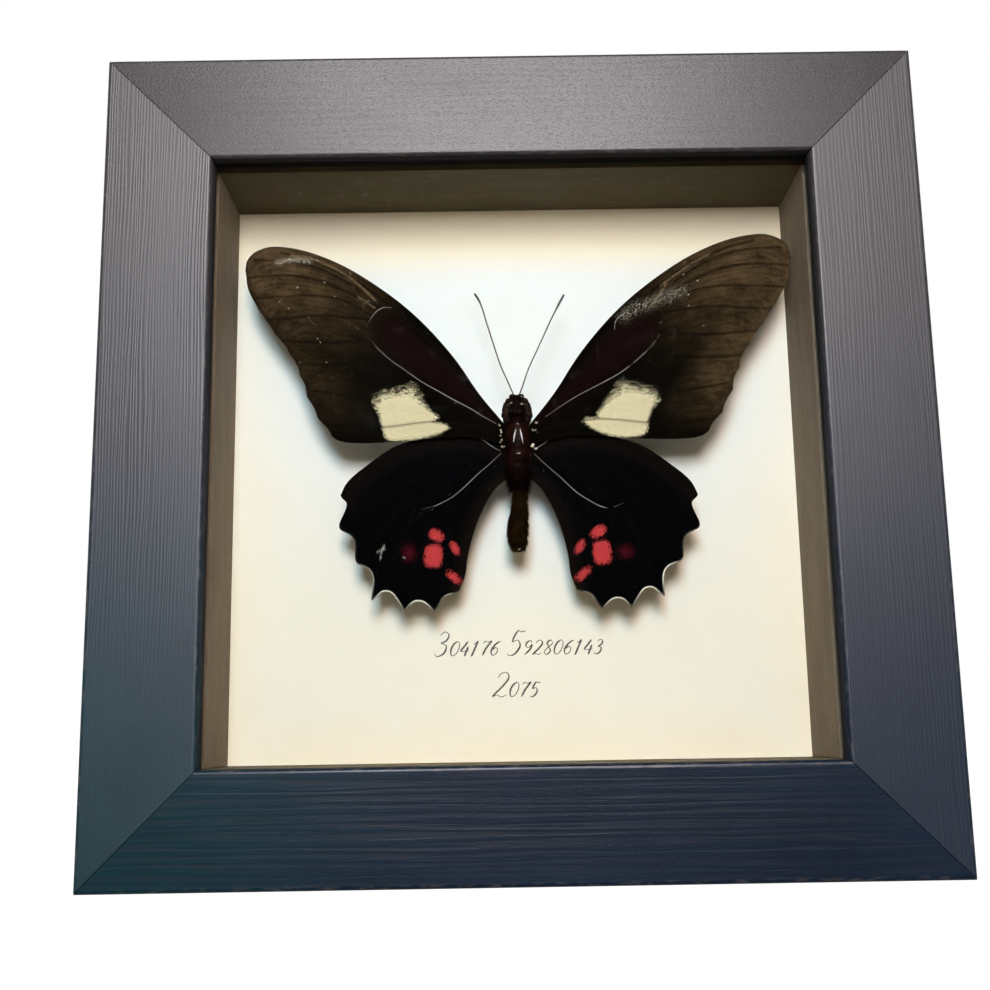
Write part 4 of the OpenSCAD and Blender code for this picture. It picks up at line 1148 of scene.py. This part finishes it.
# the two bare ridges of the back, flat-topped so that they catch the light, a bracket before them and
# one behind: greatest half width, and points [sideways, depth, up] from the body's middle line
ridges = [
    (0.19, [[-0.2, -2.2, 5.8], [-0.38, -2.4, 5], [-0.58, -2.56, 4.2], [-0.66, -2.6, 3.3]]),
    (0.18, [[0.4, -2.2, 5.85], [0.5, -2.42, 5.1], [0.66, -2.54, 4.3], [0.86, -2.56, 3.1]]),
    (0.07, [[-0.3, -2.05, 6.4], [0.05, -2.2, 6.55], [0.35, -2.05, 6.35]]),
    (0.1, [[-0.3, -2.25, 1.75], [0, -2.4, 1.62], [0.3, -2.4, 1.62], [0.6, -2.25, 1.75]]),
]


def ridgeShape(radius, line):
    # half width = radius times the square root of the sine of half a turn along the line
    t = np.linspace(0, 1, 24)
    swell = np.sqrt(np.clip(np.sin(math.pi * t), 0, 1))
    return tubes(spline(line, t) + [bodyX, bodyY, midZ], radius * swell, 12, flatness=0.45)[0]


makePiece("back_ridges", joined([ridgeShape(*ridge) for ridge in ridges]), bodyFinish["ridge_gloss"])
print("body made")

# Antennae: thin rods of many short rings, with a club at the tip

antennae = {
    "antenna_left": [[-0.3, 11.5], [-1.4, 14.1], [-2.55, 16.9], [-3.7, 20.6], [-4.7, 24], [-5.25, 26],
                     [-5.85, 27.6],
                     [-6.6, 28.8]],
    "antenna_right": [[0.35, 11.6], [1.1, 13.5], [1.95, 15.9], [3.1, 18.4], [4.4, 21.1], [5.8, 24.1], [7, 26.4],
                      [8.1, 28.4]],
}
antennaLook = {"radius": 0.12, "clubRadius": 0.2, "clubFrom": 0.8, "lift": 1.4, "rings": 46, "steps": 240,
               "sides": 8,
               "rod": (0.03, 0.02, 0.014), "band": (0.14, 0.11, 0.08), "club": (0.012, 0.008, 0.006)}


def antennaShape(route, look):
    # radius = thin + (club - thin) sin(150 degrees of the way through the club), pinched between rings
    t = np.linspace(0, 1, look["steps"])
    flat = spline(route, t)
    path = np.stack([bodyX + flat[:, 0], bodyY - look["lift"] * t, midZ + flat[:, 1]], -1)
    club = np.clip((t - look["clubFrom"]) / (1 - look["clubFrom"]), 0, 1)
    radius = look["radius"] + (look["clubRadius"] - look["radius"]) * np.sin(math.radians(150) * club)
    return tubes(path, radius * (1 - 0.16 * np.cos(math.pi * look["rings"] * t) ** 8), look["sides"])


def antennaMaterial(look):
    cloud = use(mottle, Vector=newMaterial("antenna_rings"), Size=1.5)
    share, club = attribute("share"), look["clubFrom"]
    wave = calc("COSINE", share * (2 * math.pi * look["rings"]))
    colour = blend(ramp(wave, 0.5, 1) * 0.5, look["rod"], look["band"])
    colour = blend(ramp(share, club - 0.08, club + 0.04), colour, look["club"])
    return surface(colour, cloud["Grain"] * 0.2 + 0.4, 0.2, cloud["Grain"], 0.008)


antennaRings = antennaMaterial(antennaLook)
for antennaName, route in antennae.items():
    shape, values = antennaShape(route, antennaLook)
    makePiece(antennaName + "_rings", shape, antennaRings, values, [antennaName])
print("antennae made")

# Caption: plain figures in two lines of ink, drawn with a slanted broad pen. Strokes are [right, up] in a
# box one high; places are in millimetres on the paper

figures = {
    "0": [[[0.34, 1], [0.12, 0.82], [0.02, 0.42], [0.16, 0.03], [0.42, 0.1], [0.56, 0.5], [0.5, 0.88], [0.34, 1],
           [0.24, 0.95]]],
    "1": [[[0.1, 0.76], [0.22, 0.86], [0.34, 1], [0.3, 0.7], [0.24, 0.35], [0.18, 0.02], [0.1, -0.03]]],
    "2": [[[0.06, 0.78], [0.14, 0.95], [0.36, 1], [0.5, 0.78], [0.34, 0.44], [0.02, 0.03], [0.2, 0.09], [0.4, 0],
           [0.6, 0.1]]],
    "3": [[[0.1, 0.84], [0.26, 1], [0.46, 0.86], [0.4, 0.62], [0.22, 0.53], [0.46, 0.42], [0.45, 0.12],
           [0.2, -0.02], [0.02, 0.13]]],
    "4": [[[0.36, 1], [0.2, 0.68], [0.02, 0.33], [0.22, 0.3], [0.42, 0.32], [0.6, 0.34]],
          [[0.47, 0.62], [0.42, 0.3], [0.38, -0.04]]],
    "5": [[[0.58, 1], [0.4, 0.95], [0.24, 0.98], [0.13, 0.56], [0.34, 0.61], [0.5, 0.36], [0.36, 0.04],
           [0.14, -0.02], [0.04, 0.06]]],
    "6": [[[0.54, 0.98], [0.32, 0.86], [0.12, 0.6], [0.04, 0.28], [0.2, 0], [0.44, 0.14], [0.45, 0.42],
           [0.26, 0.53], [0.08, 0.36]]],
    "7": [[[0.06, 0.82], [0.18, 1], [0.38, 0.92], [0.6, 1], [0.44, 0.7], [0.3, 0.38], [0.2, -0.02]]],
    "8": [[[0.5, 0.86], [0.3, 1], [0.12, 0.8], [0.3, 0.53], [0.48, 0.25], [0.3, 0], [0.06, 0.18], [0.25, 0.48],
           [0.48, 0.72], [0.5, 0.86]]],
    "9": [[[0.48, 0.75], [0.35, 0.98], [0.1, 0.85], [0.1, 0.6], [0.3, 0.5], [0.5, 0.7], [0.42, 0.34], [0.14, 0]]],
}
caption = {
    "lines": [{"figures": "304176 592806143", "left": -13.9, "base": 33.7},
              {"figures": "2075", "left": -4.4, "base": 27}],
    "tall": 3.9, "short": 2.3, "step": 0.66, "gap": 1, "slant": 0.28,
    "penTurn": 62, "thick": 0.15, "thin": 0.045, "steps": 44,
    "ink": (0.035, 0.03, 0.024), "faded": (0.09, 0.075, 0.06),
}

def captionShape(look):
    # half width of a stroke = thin + (thick - thin) times the sine of its angle to the pen, squared
    t = np.linspace(0, 1, look["steps"])
    paths = []
    for line in look["lines"]:
        x, first = line["left"], True
        for mark in line["figures"]:
            if mark == " ":
                x, first = x + look["gap"], True
                continue
            high = look["tall"] if first else look["short"]
            for stroke in figures[mark]:
                p = spline(stroke, t) * high
                paths.append(np.stack([x + p[:, 0] + look["slant"] * p[:, 1], 0 * t + paperFront - 0.004,
                                       line["base"] + p[:, 1]], -1))
            x, first = x + high * look["step"] + 0.12, False
    ahead = np.gradient(paths, axis=1)
    angle = np.arctan2(ahead[..., 2], ahead[..., 0]) - math.radians(look["penTurn"] - 90)
    width = look["thin"] + (look["thick"] - look["thin"]) * np.sin(angle) ** 2 * (0.35 + 0.65 * (ahead[..., 2] < 0))
    width = np.stack([np.convolve(np.pad(w, 3, mode="edge"), np.ones(7) / 7, mode="valid") for w in width])
    return tubes(paths, width * np.sqrt(np.clip(np.minimum(t, 1 - t) * 14, 0.15, 1)), 6, flatness=0.12)[0]


def inkMaterial(look):
    cloud = use(mottle, Vector=newMaterial("brown_ink"), Size=1.6)
    colour = blend(ramp(cloud["Blotch"], 0.35, 0.7), look["ink"], look["faded"])
    return surface(colour, cloud["Grain"] * 0.2 + 0.5, 0.15)


makePiece("caption_figures", captionShape(caption), inkMaterial(caption))
print("caption made")
